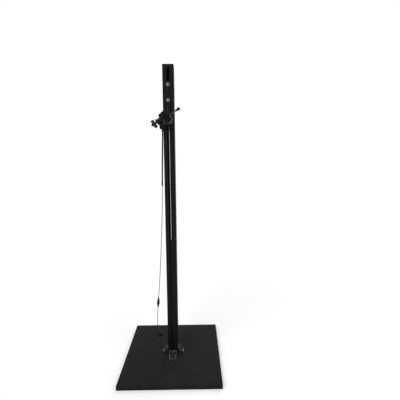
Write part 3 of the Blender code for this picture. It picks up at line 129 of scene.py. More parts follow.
# Fineness of the shapes, and the softened edges of the CAD nodes
ROUND = 48
SMOOTH = math.radians(32)
BEAD_SMOOTH = math.radians(70)
EDGE = 0.0004
EDGE_SEGMENTS = 2
WELD_REACH = 0.000005

# Hexagon heads, threads and button screws, as shares of their own sizes
CHAMFER_SLOPE = math.tan(math.radians(30))
CHAMFER_FROM = 0.97     # share of the apothem where the turned chamfer starts
CHAMFER_FLAT = 0.95     # share of the apothem that the flat end reaches
THREAD_RINGS = 8        # for each turn
SCREW_DOME = ((1.0, 0.0), (1.0, 0.35), (0.93, 0.62), (0.78, 0.86), (0.58, 1.0))

# Bolts with their washers and threads
M8_BOLT = {"corner": 0.0075, "head": 0.0055, "washer": 0.0085, "washer_thick": 0.0016,
           "shank": 0.004, "pitch": 0.00125}
M12_BOLT = {"corner": 0.0100, "head": 0.0075, "washer": 0.012, "washer_thick": 0.0025,
            "shank": 0.006, "pitch": 0.00175}
M8_NUT = 0.0062
CLAMP_PLATE = (0.042, 0.020, 0.0062)    # in the column, for the front bracket's bolt
SHANK_PAST_NUT = 0.001
THREAD_DEPTH = 0.55     # share of the pitch

# Fittings that scene.py adds to CAD pieces
HEAD_SCREW = (0.0040, 0.0023, 0.00135)  # radius, height, socket's apothem
HEAD_SCREW_FRONT = -0.014
HEAD_SCREW_UP = 0.0318
HEAD_SCREW_ACROSS = 0.010
LATCH_SCREW = (0.0038, 0.0021, 0.00125)
LATCH_SCREW_INSET = 0.008


# Camera, light and floor

def camera():
    """The photograph's camera."""
    lens = bpy.data.cameras.new("photo_view")
    lens.sensor_width = SENSOR_WIDTH
    lens.lens = SENSOR_WIDTH * FOCAL_PIXELS / IMAGE_SIDE
    lens.clip_start = NEAR_CLIP
    lens.clip_end = FAR_CLIP
    level = math.cos(PITCH_DOWN)
    ahead = Vector((math.sin(YAW_RIGHT) * level, math.cos(YAW_RIGHT) * level, -math.sin(PITCH_DOWN)))
    right = ahead.cross(Vector((0.0, 0.0, 1.0))).normalized()
    up = right.cross(ahead)
    rolled_right = math.cos(ROLL) * right + math.sin(ROLL) * up
    rolled_up = math.cos(ROLL) * up - math.sin(ROLL) * right
    turn = Matrix((rolled_right, rolled_up, -ahead)).transposed().to_4x4()
    made = bpy.data.objects.new("photo_view", lens)
    bpy.context.scene.collection.objects.link(made)
    made.matrix_world = Matrix.Translation(CAMERA_AT) @ turn
    bpy.context.scene.camera = made


# Places of sockets that share a name, on the mix node for colours
MIX_FACTOR = 0
MIX_A = 6
MIX_B = 7
MIX_COLOUR = 2


def add(tree, kind, sockets=None, **settings):
    """A shader node with its settings, and with its sockets set to values or linked to outputs."""
    made = tree.nodes.new("ShaderNode" + kind)
    for name, value in settings.items():
        setattr(made, name, value)
    for name, value in (sockets or {}).items():
        if isinstance(value, bpy.types.NodeSocket):
            tree.links.new(value, made.inputs[name])
        else:
            made.inputs[name].default_value = value
    return made


def math_node(tree, operation, a, b):
    """The outcome of a sum on two numbers or sockets."""
    return add(tree, "Math", {0: a, 1: b}, operation=operation).outputs[0]


def seen_directly(tree):
    """1 for camera, glossy and transmission rays, which see the white background."""
    path = add(tree, "LightPath")
    seen = math_node(tree, "MAXIMUM", path.outputs["Is Camera Ray"], path.outputs["Is Glossy Ray"])
    return math_node(tree, "MAXIMUM", seen, path.outputs["Is Transmission Ray"])


def world():
    """A white surround that lights the object evenly at a plain level."""
    made = bpy.data.worlds.new("studio")
    bpy.context.scene.world = made
    made.use_nodes = True
    tree = made.node_tree
    tree.nodes.clear()
    strength = spread(tree, seen_directly(tree), 0.0, 1.0, WORLD_LIGHT, 1.0)
    background = add(tree, "Background", {"Color": (1.0, 1.0, 1.0, 1.0), "Strength": strength})
    output = add(tree, "OutputWorld")
    tree.links.new(background.outputs[0], output.inputs["Surface"])


def sun(name, towards, strength):
    """A broad, far lamp in a direction, which lights the floor evenly and casts soft shadows."""
    light = bpy.data.lights.new(name, "SUN")
    light.energy = strength
    light.angle = SUN_SPREAD
    made = bpy.data.objects.new(name, light)
    bpy.context.scene.collection.objects.link(made)
    made.rotation_euler = Vector(towards).to_track_quat("Z", "Y").to_euler()


def floor():
    """A plain pale floor that keeps the object's soft shadow and is white elsewhere."""
    shape = bmesh.new()
    bmesh.ops.create_circle(shape, cap_ends=True, segments=FLOOR_SIDES, radius=FLOOR_RADIUS)
    mesh = bpy.data.meshes.new("floor")
    shape.to_mesh(mesh)
    shape.free()
    material = bpy.data.materials.new("pale_floor")
    material.use_nodes = True
    tree = material.node_tree
    tree.nodes.clear()
    grain = add(tree, "TexNoise", {"Scale": FLOOR_GRAIN, "Detail": 3.0}).outputs["Fac"]
    tone = levels(tree, grain, FLOOR_DARK, FLOOR_LIGHT)
    matt = add(tree, "BsdfDiffuse", {"Color": tone})
    glow = add(tree, "Emission", {"Color": (1.0, 1.0, 1.0, 1.0)})
    lift = times(tree, seen_directly(tree), FLOOR_GLOW)
    tree.links.new(lift, glow.inputs["Strength"])
    both = add(tree, "AddShader")
    tree.links.new(matt.outputs[0], both.inputs[0])
    tree.links.new(glow.outputs[0], both.inputs[1])
    output = add(tree, "OutputMaterial")
    tree.links.new(both.outputs[0], output.inputs["Surface"])
    mesh.materials.append(material)
    made = bpy.data.objects.new("floor", mesh)
    bpy.context.scene.collection.objects.link(made)
    made.location.z = -FLOOR_GAP


# Materials: small steps that the finishes below are made of

FINISHES = {}           # materials by slot
NOISE_LOW = 0.3         # between these two lies nearly all of a noise
NOISE_HIGH = 0.7
SCRATCH_TURNS = (0.75, 2.25)
SCRATCH_LEAN = (0.2, 0.1)
SCRATCH_SLENDER = 60    # length of a scratch over its width


def start(name, roughness, metallic=0.0, specular=0.5):
    """The finish of a slot, whose metallic and specular values are the same all over."""
    material = bpy.data.materials.new(name)
    FINISHES[name] = material
    material.use_nodes = True
    tree = material.node_tree
    shader = tree.nodes["Principled BSDF"]
    shader.inputs["Metallic"].default_value = metallic
    shader.inputs["Specular IOR Level"].default_value = specular
    shader.inputs["Roughness"].default_value = roughness
    return tree, shader


def spot(tree):
    """Where the shaded point is, in the piece's own frame."""
    return add(tree, "TexCoord").outputs["Object"]


def scaled(tree, vector, scale, turn=(0.0, 0.0, 0.0)):
    """A vector scaled along its own axes and then turned."""
    return add(tree, "Mapping", {"Vector": vector, "Rotation": turn, "Scale": scale}).outputs[0]


def noise(tree, vector, scale, detail=2.0, roughness=0.5):
    return add(tree, "TexNoise", {"Vector": vector, "Scale": scale, "Detail": detail,
                                  "Roughness": roughness}).outputs["Fac"]


def spread(tree, value, low, high, to_low=0.0, to_high=1.0):
    """Maps low..high to to_low..to_high, held at both ends."""
    return add(tree, "MapRange", dict(enumerate((value, low, high, to_low, to_high)))).outputs[0]


def levels(tree, value, to_low=0.0, to_high=1.0):
    """Maps a noise to to_low..to_high."""
    return spread(tree, value, NOISE_LOW, NOISE_HIGH, to_low, to_high)


def times(tree, a, b):
    return math_node(tree, "MULTIPLY", a, b)


def mixed(tree, factor, a, b):
    """Colour a where the factor is 0 and b where it is 1."""
    made = add(tree, "Mix", data_type="RGBA")
    for index, value in ((MIX_FACTOR, factor), (MIX_A, a), (MIX_B, b)):
        if isinstance(value, bpy.types.NodeSocket):
            tree.links.new(value, made.inputs[index])
        else:
            made.inputs[index].default_value = value if index == MIX_FACTOR else (*value, 1.0)
    return made.outputs[MIX_COLOUR]


def shades(tree, value, dark, light):
    """Runs from dark to light with a noise."""
    return mixed(tree, levels(tree, value), dark, light)


def share_of(colour, share):
    return [channel * share for channel in colour]


def rims(tree, width):
    """1 along outer and inner edges, 0 on the flats."""
    soft = add(tree, "Bevel", {"Radius": width}, samples=4).outputs[0]
    plain = add(tree, "NewGeometry").outputs["Normal"]
    agree = add(tree, "VectorMath", {0: soft, 1: plain}, operation="DOT_PRODUCT").outputs["Value"]
    return spread(tree, agree, 0.86, 0.985, 1.0, 0.0)


def hollows(tree, reach):
    """1 deep in corners, where the finishes paint shade into their colour."""
    open_share = add(tree, "AmbientOcclusion", {"Distance": reach}, samples=6).outputs["AO"]
    return spread(tree, open_share, 0.35, 0.85, 1.0, 0.0)


def upward(tree):
    """1 on faces that look up, in the piece's own frame."""
    normal = add(tree, "TexCoord").outputs["Normal"]
    height = add(tree, "SeparateXYZ", {0: normal}).outputs["Z"]
    return spread(tree, height, 0.55, 0.95)


def scratches(tree, at, length, amount):
    """Sparse fine lines of about the given length, in two directions."""
    total = None
    width = length / SCRATCH_SLENDER
    for turn in SCRATCH_TURNS:
        askew = scaled(tree, at, (1.0, 1.0, 1.0), (*SCRATCH_LEAN, turn))
        lines = noise(tree, scaled(tree, askew, (1 / length, 1 / width, 1 / length)), 1.0, 1.0)
        thin = spread(tree, lines, 0.70 - amount, 0.74 - amount)
        total = thin if total is None else math_node(tree, "MAXIMUM", total, thin)
    patches = spread(tree, noise(tree, at, 2.0 / length, 2.0), 0.5, 0.62)
    return times(tree, total, patches)


def finish(tree, shader, colour, roughness, *layers):
    """Links the colour, the roughness and bumps of (height, depth in metres), one on top of the other."""
    tree.links.new(colour, shader.inputs["Base Color"])
    tree.links.new(roughness, shader.inputs["Roughness"])
    normal = None
    for height, depth in layers:
        sockets = {"Height": height, "Distance": depth, "Strength": 1.0}
        if normal is not None:
            sockets["Normal"] = normal
        normal = add(tree, "Bump", sockets).outputs[0]
    tree.links.new(normal, shader.inputs["Normal"])


# Materials: colours of wear and dirt, and of painted shade in hollows

RUBBED_PAINT = (0.085, 0.085, 0.088)
SCRATCHED_PAINT = (0.10, 0.10, 0.10)
LYING_DUST = (0.16, 0.155, 0.145)
RUBBED_ALLOY = (0.17, 0.17, 0.175)
SCRATCHED_ALLOY = (0.09, 0.09, 0.092)
# painted shade for bare metal deep in its hollows
METAL_HOLLOW_SHADE = (0.035, 0.033, 0.030)
# painted shade for plastic deep in its hollows
PLASTIC_HOLLOW_SHADE = (0.05, 0.048, 0.044)
TREAD_MARK = (0.30, 0.29, 0.27)
RUBBER_DUST = (0.14, 0.135, 0.125)
TRACER_THREAD = (0.12, 0.12, 0.12)


# Materials: the finishes

def powder_coat(name, colour, rough, specular, grain, depth, chips=0.5, dust=0.06, scuffs=0.3):
    """Baked powder paint: a fine grain, rubbed rims, scuffs and a little dust on top faces."""
    tree, shader = start(name, rough, specular=specular)
    at = spot(tree)
    peel = noise(tree, at, 1 / grain, 2.0)
    speck = noise(tree, at, 4 / grain, 1.0)
    cloud = noise(tree, at, 6.0, 4.0, 0.6)
    shade = shades(tree, cloud, share_of(colour, 0.82), share_of(colour, 1.16))
    worn = spread(tree, noise(tree, at, 160.0, 3.0), 0.50, 0.60, 0.0, chips)
    shade = mixed(tree, times(tree, rims(tree, 0.0012), worn), shade, RUBBED_PAINT)
    lines = scratches(tree, at, 0.05, 0.03)
    shade = mixed(tree, times(tree, lines, scuffs), shade, SCRATCHED_PAINT)
    lying = spread(tree, noise(tree, at, 45.0, 5.0, 0.65), 0.42, 0.75, 0.0, dust)
    shade = mixed(tree, times(tree, upward(tree), lying), shade, LYING_DUST)
    gloss = levels(tree, cloud, rough - 0.05, rough + 0.05)
    gloss = math_node(tree, "SUBTRACT", gloss, times(tree, lines, 0.12))
    finish(tree, shader, shade, gloss, (peel, depth), (speck, depth * 0.35), (lines, -depth * 0.4))


def anodised(name):
    """Black anodised extrusion: die lines along its length, and bare metal showing at rubbed rims."""
    tree, shader = start(name, 0.5, specular=0.12)
    at = spot(tree)
    die = noise(tree, scaled(tree, at, (1500.0, 1500.0, 2.0)), 1.0, 3.0, 0.6)
    fine = noise(tree, scaled(tree, at, (5200.0, 5200.0, 14.0)), 1.0, 2.0)
    cloud = noise(tree, scaled(tree, at, (10.0, 10.0, 2.5)), 1.0, 3.0)
    shade = shades(tree, die, (0.0028, 0.0028, 0.0034), (0.0050, 0.0050, 0.0058))
    shade = mixed(tree, spread(tree, cloud, 0.4, 0.7, 0.0, 0.35), shade, (0.0080, 0.0078, 0.0084))
    worn = spread(tree, noise(tree, at, 120.0, 4.0), 0.54, 0.64, 0.0, 0.55)
    shade = mixed(tree, times(tree, rims(tree, 0.0009), worn), shade, RUBBED_ALLOY)
    lines = scratches(tree, at, 0.09, 0.02)
    shade = mixed(tree, times(tree, lines, 0.35), shade, SCRATCHED_ALLOY)
    finish(tree, shader, shade, levels(tree, die, 0.46, 0.58), (die, 0.000012), (fine, 0.000004))


def bare_metal(name, light, dark, rough, brush=(1.0, 1.0, 1.0), grain=900.0, depth=0.00001, hollow_shade=0.35,
               corner=0.006):
    """Bare metal with a grain drawn along an axis by the brush's small value, painted rim highlights and
    painted corner shade.
    """
    tree, shader = start(name, rough, metallic=1.0)
    at = spot(tree)
    drawn = noise(tree, scaled(tree, at, share_of(brush, grain)), 1.0, 3.0, 0.6)
    cloud = noise(tree, at, 28.0, 4.0, 0.6)
    shade = shades(tree, drawn, dark, light)
    shade = mixed(tree, spread(tree, cloud, 0.45, 0.75, 0.0, 0.4), shade, share_of(dark, 0.72))
    # painted highlight: every rim is lighter, as where light catches an edge
    rim_highlight = [min(1.0, channel) for channel in share_of(light, 1.25)]
    shade = mixed(tree, times(tree, rims(tree, 0.0008), 0.5), shade, rim_highlight)
    # painted shade: the colour darkens deep in corners
    shade = mixed(tree, times(tree, hollows(tree, corner), hollow_shade), shade, METAL_HOLLOW_SHADE)
    gloss = spread(tree, drawn, 0.25, 0.75, rough - 0.08, rough + 0.08)
    gloss = math_node(tree, "ADD", gloss, spread(tree, cloud, 0.4, 0.8, 0.0, 0.12))
    finish(tree, shader, shade, gloss, (drawn, depth), (noise(tree, at, grain * 3.0, 1.0), depth * 0.3))


def chrome(name):
    """Hard chrome: nearly a mirror, with polish rings and a smear of oil."""
    tree, shader = start(name, 0.06, metallic=1.0)
    at = spot(tree)
    rings = noise(tree, scaled(tree, at, (6.0, 6.0, 2600.0)), 1.0, 2.0)
    smear = noise(tree, scaled(tree, at, (70.0, 70.0, 5.0)), 1.0, 4.0, 0.6)
    shade = mixed(tree, spread(tree, smear, 0.5, 0.75), (0.47, 0.47, 0.483), (0.35, 0.342, 0.317))
    oily = spread(tree, smear, 0.5, 0.8, 0.0, 0.14)
    gloss = math_node(tree, "ADD", levels(tree, rings, 0.03, 0.07), oily)
    finish(tree, shader, shade, gloss, (rings, 0.0000015))


def cylinder_paint(name):
    """Gloss black paint with a faint orange peel."""
    tree, shader = start(name, 0.3, specular=0.18)
    at = spot(tree)
    peel = noise(tree, at, 420.0, 1.0)
    smear = noise(tree, scaled(tree, at, (60.0, 60.0, 6.0)), 1.0, 4.0)
    shade = mixed(tree, spread(tree, smear, 0.4, 0.8), (0.0070, 0.0070, 0.0080), (0.020, 0.019, 0.018))
    finish(tree, shader, shade, spread(tree, smear, 0.35, 0.8, 0.24, 0.46), (peel, 0.000025))


def plastic(name, colour, rough, grain=0.0003, depth=0.000018, specular=0.4):
    """Moulded plastic with a spark-eroded grain that hands have polished on the rims, and painted shade in
    its corners.
    """
    tree, shader = start(name, rough, specular=specular)
    at = spot(tree)
    grit = noise(tree, at, 1 / grain, 2.0, 0.6)
    cloud = noise(tree, at, 35.0, 3.0)
    shade = shades(tree, cloud, share_of(colour, 0.85), share_of(colour, 1.2))
    polished = rims(tree, 0.0015)
    shade = mixed(tree, times(tree, polished, 0.4), shade, share_of(colour, 1.9))
    # painted shade: the colour darkens deep in corners
    shade = mixed(tree, times(tree, hollows(tree, 0.005), 0.3), shade, PLASTIC_HOLLOW_SHADE)
    gloss = levels(tree, grit, rough - 0.04, rough + 0.06)
    gloss = math_node(tree, "SUBTRACT", gloss, times(tree, polished, 0.10))
    finish(tree, shader, shade, gloss, (grit, depth), (noise(tree, at, 0.3 / grain, 1.0), depth * 0.6))


def nylon(name):
    """Natural nylon, a little translucent, with grey tread marks."""
    tree, shader = start(name, 0.42)
    shader.inputs["Subsurface Weight"].default_value = 0.12
    shader.inputs["Subsurface Radius"].default_value = (0.004, 0.003, 0.002)
    shader.inputs["Subsurface Scale"].default_value = 1.0
    at = spot(tree)
    rub = noise(tree, scaled(tree, at, (60.0, 60.0, 900.0)), 1.0, 3.0)
    shade = shades(tree, noise(tree, at, 60.0, 3.0), (0.66, 0.64, 0.57), (0.73, 0.72, 0.66))
    shade = mixed(tree, spread(tree, rub, 0.52, 0.70, 0.0, 0.5), shade, TREAD_MARK)
    finish(tree, shader, shade, levels(tree, rub, 0.34, 0.52), (rub, 0.00002),
           (noise(tree, at, 1500.0, 1.0), 0.00001))


def rubber(name, grey):
    """Matt black rubber with a fine tooth and pale dust in it."""
    tree, shader = start(name, 0.85, specular=0.10)
    at = spot(tree)
    tooth = noise(tree, at, 1400.0, 3.0, 0.7)
    cloud = noise(tree, at, 55.0, 4.0, 0.6)
    shade = shades(tree, cloud, (grey * 0.8,) * 3, (grey * 1.25,) * 3)
    dust = times(tree, spread(tree, tooth, 0.58, 0.72), spread(tree, cloud, 0.45, 0.7, 0.0, 0.3))
    shade = mixed(tree, dust, shade, RUBBER_DUST)
    finish(tree, shader, shade, levels(tree, cloud, 0.78, 0.93), (tooth, 0.00004),
           (noise(tree, at, 350.0, 2.0), 0.00003))


def hose(name):
    """Smooth extruded plastic with faint draw lines along the hose."""
    tree, shader = start(name, 0.45, specular=0.15)
    around = add(tree, "TexCoord").outputs["UV"]
    lines = noise(tree, scaled(tree, around, (70.0, 4.0, 1.0)), 1.0, 3.0)
    cloud = noise(tree, spot(tree), 90.0, 3.0)
    shade = shades(tree, cloud, (0.007, 0.007, 0.008), (0.013, 0.013, 0.014))
    finish(tree, shader, shade, levels(tree, lines, 0.34, 0.48), (lines, 0.00001))


def braid(name):
    """Braided polyester: filaments along each strand, with a paler tracer thread."""
    tree, shader = start(name, 0.75, specular=0.2)
    shader.inputs["Sheen Weight"].default_value = 0.15
    shader.inputs["Sheen Roughness"].default_value = 0.5
    around = add(tree, "TexCoord").outputs["UV"]
    parts = add(tree, "SeparateXYZ", {0: around})
    turns = times(tree, parts.outputs["X"], 2 * math.pi * CORD_STARTS)
    run = times(tree, parts.outputs["Y"], 2 * math.pi * CORD_STARTS / CORD_LAY)
    left = math_node(tree, "COSINE", math_node(tree, "ADD", turns, run), 0.0)
    right = math_node(tree, "COSINE", math_node(tree, "SUBTRACT", turns, run), 0.0)
    weave = spread(tree, math_node(tree, "MAXIMUM", left, right), -0.4, 0.9)
    filaments = noise(tree, scaled(tree, around, (40.0, 2400.0, 1.0)), 1.0, 2.0)
    shade = mixed(tree, weave, (0.005, 0.005, 0.006), (0.026, 0.026, 0.028))
    stretches = spread(tree, noise(tree, around, 55.0, 1.0), 0.55, 0.6, 0.0, 0.5)
    tracer = times(tree, spread(tree, left, 0.86, 0.95), stretches)
    shade = mixed(tree, tracer, shade, TRACER_THREAD)
    finish(tree, shader, shade, levels(tree, filaments, 0.62, 0.82), (weave, 0.00012), (filaments, 0.00004))


powder_coat("base_paint", (0.0142, 0.0142, 0.0150), 0.72, 0.04, 0.0012, 0.00004,
            chips=0.35, dust=0.05, scuffs=0.25)
powder_coat("frame_paint", (0.0078, 0.0078, 0.0084), 0.50, 0.09, 0.0016, 0.00002,
            chips=0.6, dust=0.03, scuffs=0.25)
anodised("column_black")
cylinder_paint("cylinder_paint")
# bracket_alloy and bolt_zinc take strong painted shade in their corners
bare_metal("bracket_alloy", (0.16, 0.16, 0.166), (0.10, 0.10, 0.104), 0.46,
           grain=700.0, depth=0.00005, hollow_shade=0.9, corner=0.015)
bare_metal("block_alloy", (0.60, 0.60, 0.61), (0.46, 0.46, 0.47), 0.34,
           brush=(1.0, 1.0, 0.02), grain=1600.0)
bare_metal("bolt_zinc", (0.225, 0.227, 0.233), (0.145, 0.147, 0.153), 0.30,
           brush=(0.5, 0.5, 0.5), grain=1100.0, depth=0.000006, hollow_shade=0.7, corner=0.010)
bare_metal("dark_steel", (0.050, 0.050, 0.052), (0.024, 0.024, 0.026), 0.38,
           brush=(1.0, 0.04, 1.0), grain=1500.0)
bare_metal("ballast_steel", (0.24, 0.24, 0.26), (0.12, 0.115, 0.115), 0.50,
           grain=260.0, depth=0.00004)
bare_metal("bush_bronze", (0.52, 0.35, 0.16), (0.36, 0.23, 0.09), 0.36,
           grain=1300.0, depth=0.00003)
chrome("rod_chrome")
nylon("roller_nylon")
plastic("black_plastic", (0.0090, 0.0090, 0.0098), 0.46, specular=0.22)
rubber("foot_rubber", 0.005)
rubber("pad_rubber", 0.016)
hose("cord_cover")
braid("cord_braid")

camera()
world()
floor()
for lamp in SUNS:
    sun(*lamp)
bpy.context.scene.view_settings.view_transform = "Standard"


# Shapes: skins over rings of points

def ring(radius, height, sides=ROUND):
    """Points round the Z axis. The radius is a number, or a function of the angle."""
    points = []
    for n in range(sides):
        angle = 2 * math.pi * n / sides
        reach = radius(angle) if callable(radius) else radius
        points.append(Vector((reach * math.cos(angle), reach * math.sin(angle), height)))
    return points


def loft(rings, closed=False, along=None):
    """A skin over rings of points, with capped ends, or closed on itself. Its UV map holds the share of
    a turn and the distance along."""
    shape = bmesh.new()
    chart = shape.loops.layers.uv.new("UVMap")
    loops = [[shape.verts.new(point) for point in points] for points in rings]
    far = along or [float(n) for n in range(len(rings))]
    spans = list(zip(loops, loops[1:], far, far[1:]))
    if closed:
        spans.append((loops[-1], loops[0], far[-1], far[-1] + 1.0))
    else:
        shape.faces.new(reversed(loops[0]))
        shape.faces.new(loops[-1])
    sides = len(rings[0])
    for low, high, start_at, end_at in spans:
        for n in range(sides):
            m = (n + 1) % sides
            face = shape.faces.new((low[n], low[m], high[m], high[n]))
            corners = ((n, start_at), (n + 1, start_at), (n + 1, end_at), (n, end_at))
            for corner, (turn, distance) in zip(face.loops, corners):
                corner[chart].uv = (turn / sides, distance)
    return shape


def turned(profile, sides=ROUND, closed=False):
    """A shape turned about the Z axis from (radius, height) points."""
    return loft([ring(radius, height, sides) for radius, height in profile], closed)


def rounded_disc(radius, low, high, edge, steps=4):
    """The profile of a disc whose two rims are round."""
    quarter = [math.pi / 2 * n / steps for n in range(steps + 1)]
    profile = [(radius - edge + edge * math.sin(a), low + edge - edge * math.cos(a)) for a in quarter]
    profile += [(radius - edge + edge * math.cos(a), high - edge + edge * math.sin(a)) for a in quarter]
    return profile


def hexagon(apothem):
    """The radius of a hexagon at an angle."""
    return lambda angle: apothem / math.cos((angle + math.pi / 6) % (math.pi / 3) - math.pi / 6)


def hex_prism(corner_radius, low, high, both_ends=False):
    """A bolt's head or a nut, with the chamfer that is turned over its corners."""
    apothem = corner_radius * math.cos(math.pi / 6)
    reach = hexagon(apothem)

    def rim(edge, inward):
        points = ring(reach, edge)
        for point in points:
            point.z += inward * CHAMFER_SLOPE * (point.xy.length - apothem * CHAMFER_FROM)
        return points

    rings = [ring(apothem * CHAMFER_FLAT, low), rim(low, 1.0)] if both_ends else [ring(reach, low)]
    rings += [rim(high, -1.0), ring(apothem * CHAMFER_FLAT, high)]
    return loft(rings)


def threaded(radius, low, high, pitch, depth, sides=24):
    """A rod with a rolled thread that runs out at both ends."""
    count = max(2, round((high - low) / pitch * THREAD_RINGS))
    rings = []
    for n in range(count + 1):
        height = low + (high - low) * n / count
        fade = min(1.0, n / THREAD_RINGS, (count - n) / THREAD_RINGS)

        def reach(angle, height=height, fade=fade):
            phase = (height / pitch - angle / (2 * math.pi)) % 1.0
            return radius - depth * fade * abs(2 * phase - 1) - 0.5 * depth * (1 - fade)
        rings.append(ring(reach, height, sides))
    return loft(rings)


def socket_screw(radius, height, socket):
    """A domed screw head with a hexagon socket, standing on z = 0."""
    rings = [ring(radius * out, height * rise) for out, rise in SCREW_DOME]
    rings += [ring(hexagon(socket), height), ring(hexagon(socket * 0.97), height * 0.25)]
    return loft(rings)


def rounded_box(low, high, edge):
    """A block with bevelled edges."""
    low, high = Vector(low), Vector(high)
    shape = bmesh.new()
    bmesh.ops.create_cube(shape, size=1.0)
    bmesh.ops.scale(shape, vec=high - low, verts=shape.verts)
    bmesh.ops.translate(shape, vec=(low + high) / 2, verts=shape.verts)
    bmesh.ops.bevel(shape, geom=shape.edges[:] + shape.verts[:], offset=edge, segments=2, profile=0.5,
                    affect="EDGES")
    return shape


def tube(points, radius, sides, swell=None):
    """A tube along points. The swell is the radius's share at an angle and a distance."""
    rings = []
    along = []
    side = None
    travelled = 0.0
    for n, point in enumerate(points):
        before = points[max(n - 1, 0)]
        after = points[min(n + 1, len(points) - 1)]
        ahead = (after - before).normalized()
        side = ahead.orthogonal() if side is None else side
        side = (side - ahead * side.dot(ahead)).normalized()
        other = ahead.cross(side)
        travelled += (point - before).length if n else 0.0
        along.append(travelled)
        points_round = []
        for k in range(sides):
            angle = 2 * math.pi * k / sides
            reach = radius * (swell(angle, travelled) if swell else 1.0)
            points_round.append(point + (side * math.cos(angle) + other * math.sin(angle)) * reach)
        rings.append(points_round)
    return loft(rings, along=along)


def piece(name, shapes, slot, body, replaced=(), place=None, smooth=SMOOTH):
    """A piece of one or more closed shapes that rides on a body and may stand for CAD nodes."""
    mesh = bpy.data.meshes.new(name)
    total = bmesh.new()
    for shape in shapes:
        bmesh.ops.recalc_face_normals(shape, faces=shape.faces)
        shape.to_mesh(mesh)
        shape.free()
        total.from_mesh(mesh)
    total.to_mesh(mesh)
    total.free()
    mesh.shade_smooth()
    mesh.set_sharp_from_angle(angle=smooth)
    mesh.materials.append(FINISHES[slot])
    made = bpy.data.objects.new(name, mesh)
    bpy.context.scene.collection.objects.link(made)
    if place is not None:
        made.matrix_world = place
    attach(made, body)
    if replaced:
        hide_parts(*replaced)
    return made


def facing(origin, direction, side=None):
    """A place at an origin whose own Z axis points along a direction."""
    z = Vector(direction).normalized()
    x = Vector(side) if side is not None else z.orthogonal()
    x = (x - z * x.dot(z)).normalized()
    turn = Matrix((x, z.cross(x), z)).transposed().to_4x4()
    return Matrix.Translation(origin) @ turn


def local_box(node, place):
    """Lowest and highest corner of a CAD node in a place's own axes."""
    back = place.inverted()
    corners = [back @ vertex.co for vertex in frame["nodes"][node].data.vertices]
    return Vector(map(min, zip(*corners))), Vector(map(max, zip(*corners)))


# Cord: sleeve, ferrule, pull cord and handle

def smooth_route():
    """Points close together on a curve through the route's points, with their distances."""
    ends = [2 * Vector(CORD_ROUTE[0]) - Vector(CORD_ROUTE[1])]
    ends += [Vector(point) for point in CORD_ROUTE]
    ends += [2 * Vector(CORD_ROUTE[-1]) - Vector(CORD_ROUTE[-2])]
    points = [ends[1]]
    for before, here, there, after in zip(ends, ends[1:], ends[2:], ends[3:]):
        for n in range(1, ROUTE_SAMPLES + 1):
            t = n / ROUTE_SAMPLES
            points.append(0.5 * (2 * here + (there - before) * t
                                 + (2 * before - 5 * here + 4 * there - after) * t * t
                                 + (3 * here - before - 3 * there + after) * t * t * t))
    lengths = [0.0]
    for a, b in zip(points, points[1:]):
        lengths.append(lengths[-1] + (b - a).length)
    return points, lengths


ROUTE, ROUTE_LENGTHS = smooth_route()


def at_distance(distance):
    """The point of the route at a distance from its start."""
    for a, b, low, high in zip(ROUTE, ROUTE[1:], ROUTE_LENGTHS, ROUTE_LENGTHS[1:]):
        if distance <= high:
            return a.lerp(b, (distance - low) / (high - low))
    return ROUTE[-1]


def stretch(begin, end, step):
    """Points along the route from one distance to another, about a step apart."""
    count = max(2, round((end - begin) / step))
    return [at_distance(begin + (end - begin) * n / count) for n in range(count + 1)]


def braided(angle, distance):
    """The swell of a diamond braid: two sets of strands that cross."""
    turn = CORD_STARTS * angle
    run = 2 * math.pi * CORD_STARTS * distance / CORD_LAY
    crown = max(math.cos(turn + run), math.cos(turn - run))
    return 1.0 - CORD_RELIEF * (1.0 - max(0.0, crown))


def on_route(begin, end):
    """A place midway between two distances, its Z axis towards the first."""
    top, bottom = at_distance(begin), at_distance(end)
    return facing((top + bottom) / 2, top - bottom)


def ferrule_profile():
    """A sleeve with two crimps that tapers to the pull cord."""
    half = (FERRULE_END - FERRULE_START) / 2
    profile = [(CORD_RADIUS * 1.05, half * 0.94), (0.0050, half), (0.0059, half),
               (FERRULE_RADIUS, half - 0.0004)]
    for crimp in (0.62, 0.30):
        profile += [(FERRULE_RADIUS, half * (crimp + 0.12)), (CRIMP_RADIUS, half * (crimp + 0.06)),
                    (CRIMP_RADIUS, half * (crimp - 0.06)), (FERRULE_RADIUS, half * (crimp - 0.12))]
    return profile + [(FERRULE_RADIUS, 0.10 * half), (0.0053, -0.22 * half), (0.0038, -0.85 * half),
                      (0.0034, -half), (0.0027, -half)]


def handle_profile():
    """A spindle with grooves round its belly."""
    half = (HANDLE_END - HANDLE_START) / 2
    profile = []
    for n in range(HANDLE_RINGS + 1):
        height = half * math.cos(math.pi * n / HANDLE_RINGS)
        belly = math.cos(height / half * math.pi / 2) ** 1.5
        crest = max(0.0, math.cos(height * 2 * math.pi / HANDLE_GROOVE_PITCH))
        groove = HANDLE_GROOVE * crest if abs(height) < HANDLE_GROOVED else 0.0
        profile.append((HANDLE_NECK + (HANDLE_RADIUS - HANDLE_NECK) * belly - groove, height))
    return profile


def cords():
    """The sleeve with its ferrule, and the pull cord with its handle."""
    sleeve_points = stretch(0.0, SLEEVE_LENGTH, SLEEVE_RING)
    sleeve = piece("cable_sleeve", [tube(sleeve_points, SLEEVE_RADIUS, 32)], "cord_cover", "stand",
                   ["cord_sleeve"])
    ferrule = piece("crimped_ferrule", [turned(ferrule_profile())], "black_plastic", "stand",
                    ["sleeve_ferrule"], on_route(FERRULE_START, FERRULE_END))

    total = ROUTE_LENGTHS[-1]
    begin = FERRULE_END - FERRULE_GRIP
    fine = stretch(begin, total, CORD_RING)
    pull = piece("braided_cord", [tube(fine, CORD_RADIUS, 24, braided)], "cord_braid", "stand",
                 ["pull_cord", "pull_cord_tail"])
    handle = piece("spindle_handle", [turned(handle_profile())], "black_plastic", "stand",
                   ["pull_handle"], on_route(HANDLE_START, HANDLE_END))


cords()


# CAD nodes that stay: their finish and softened edges

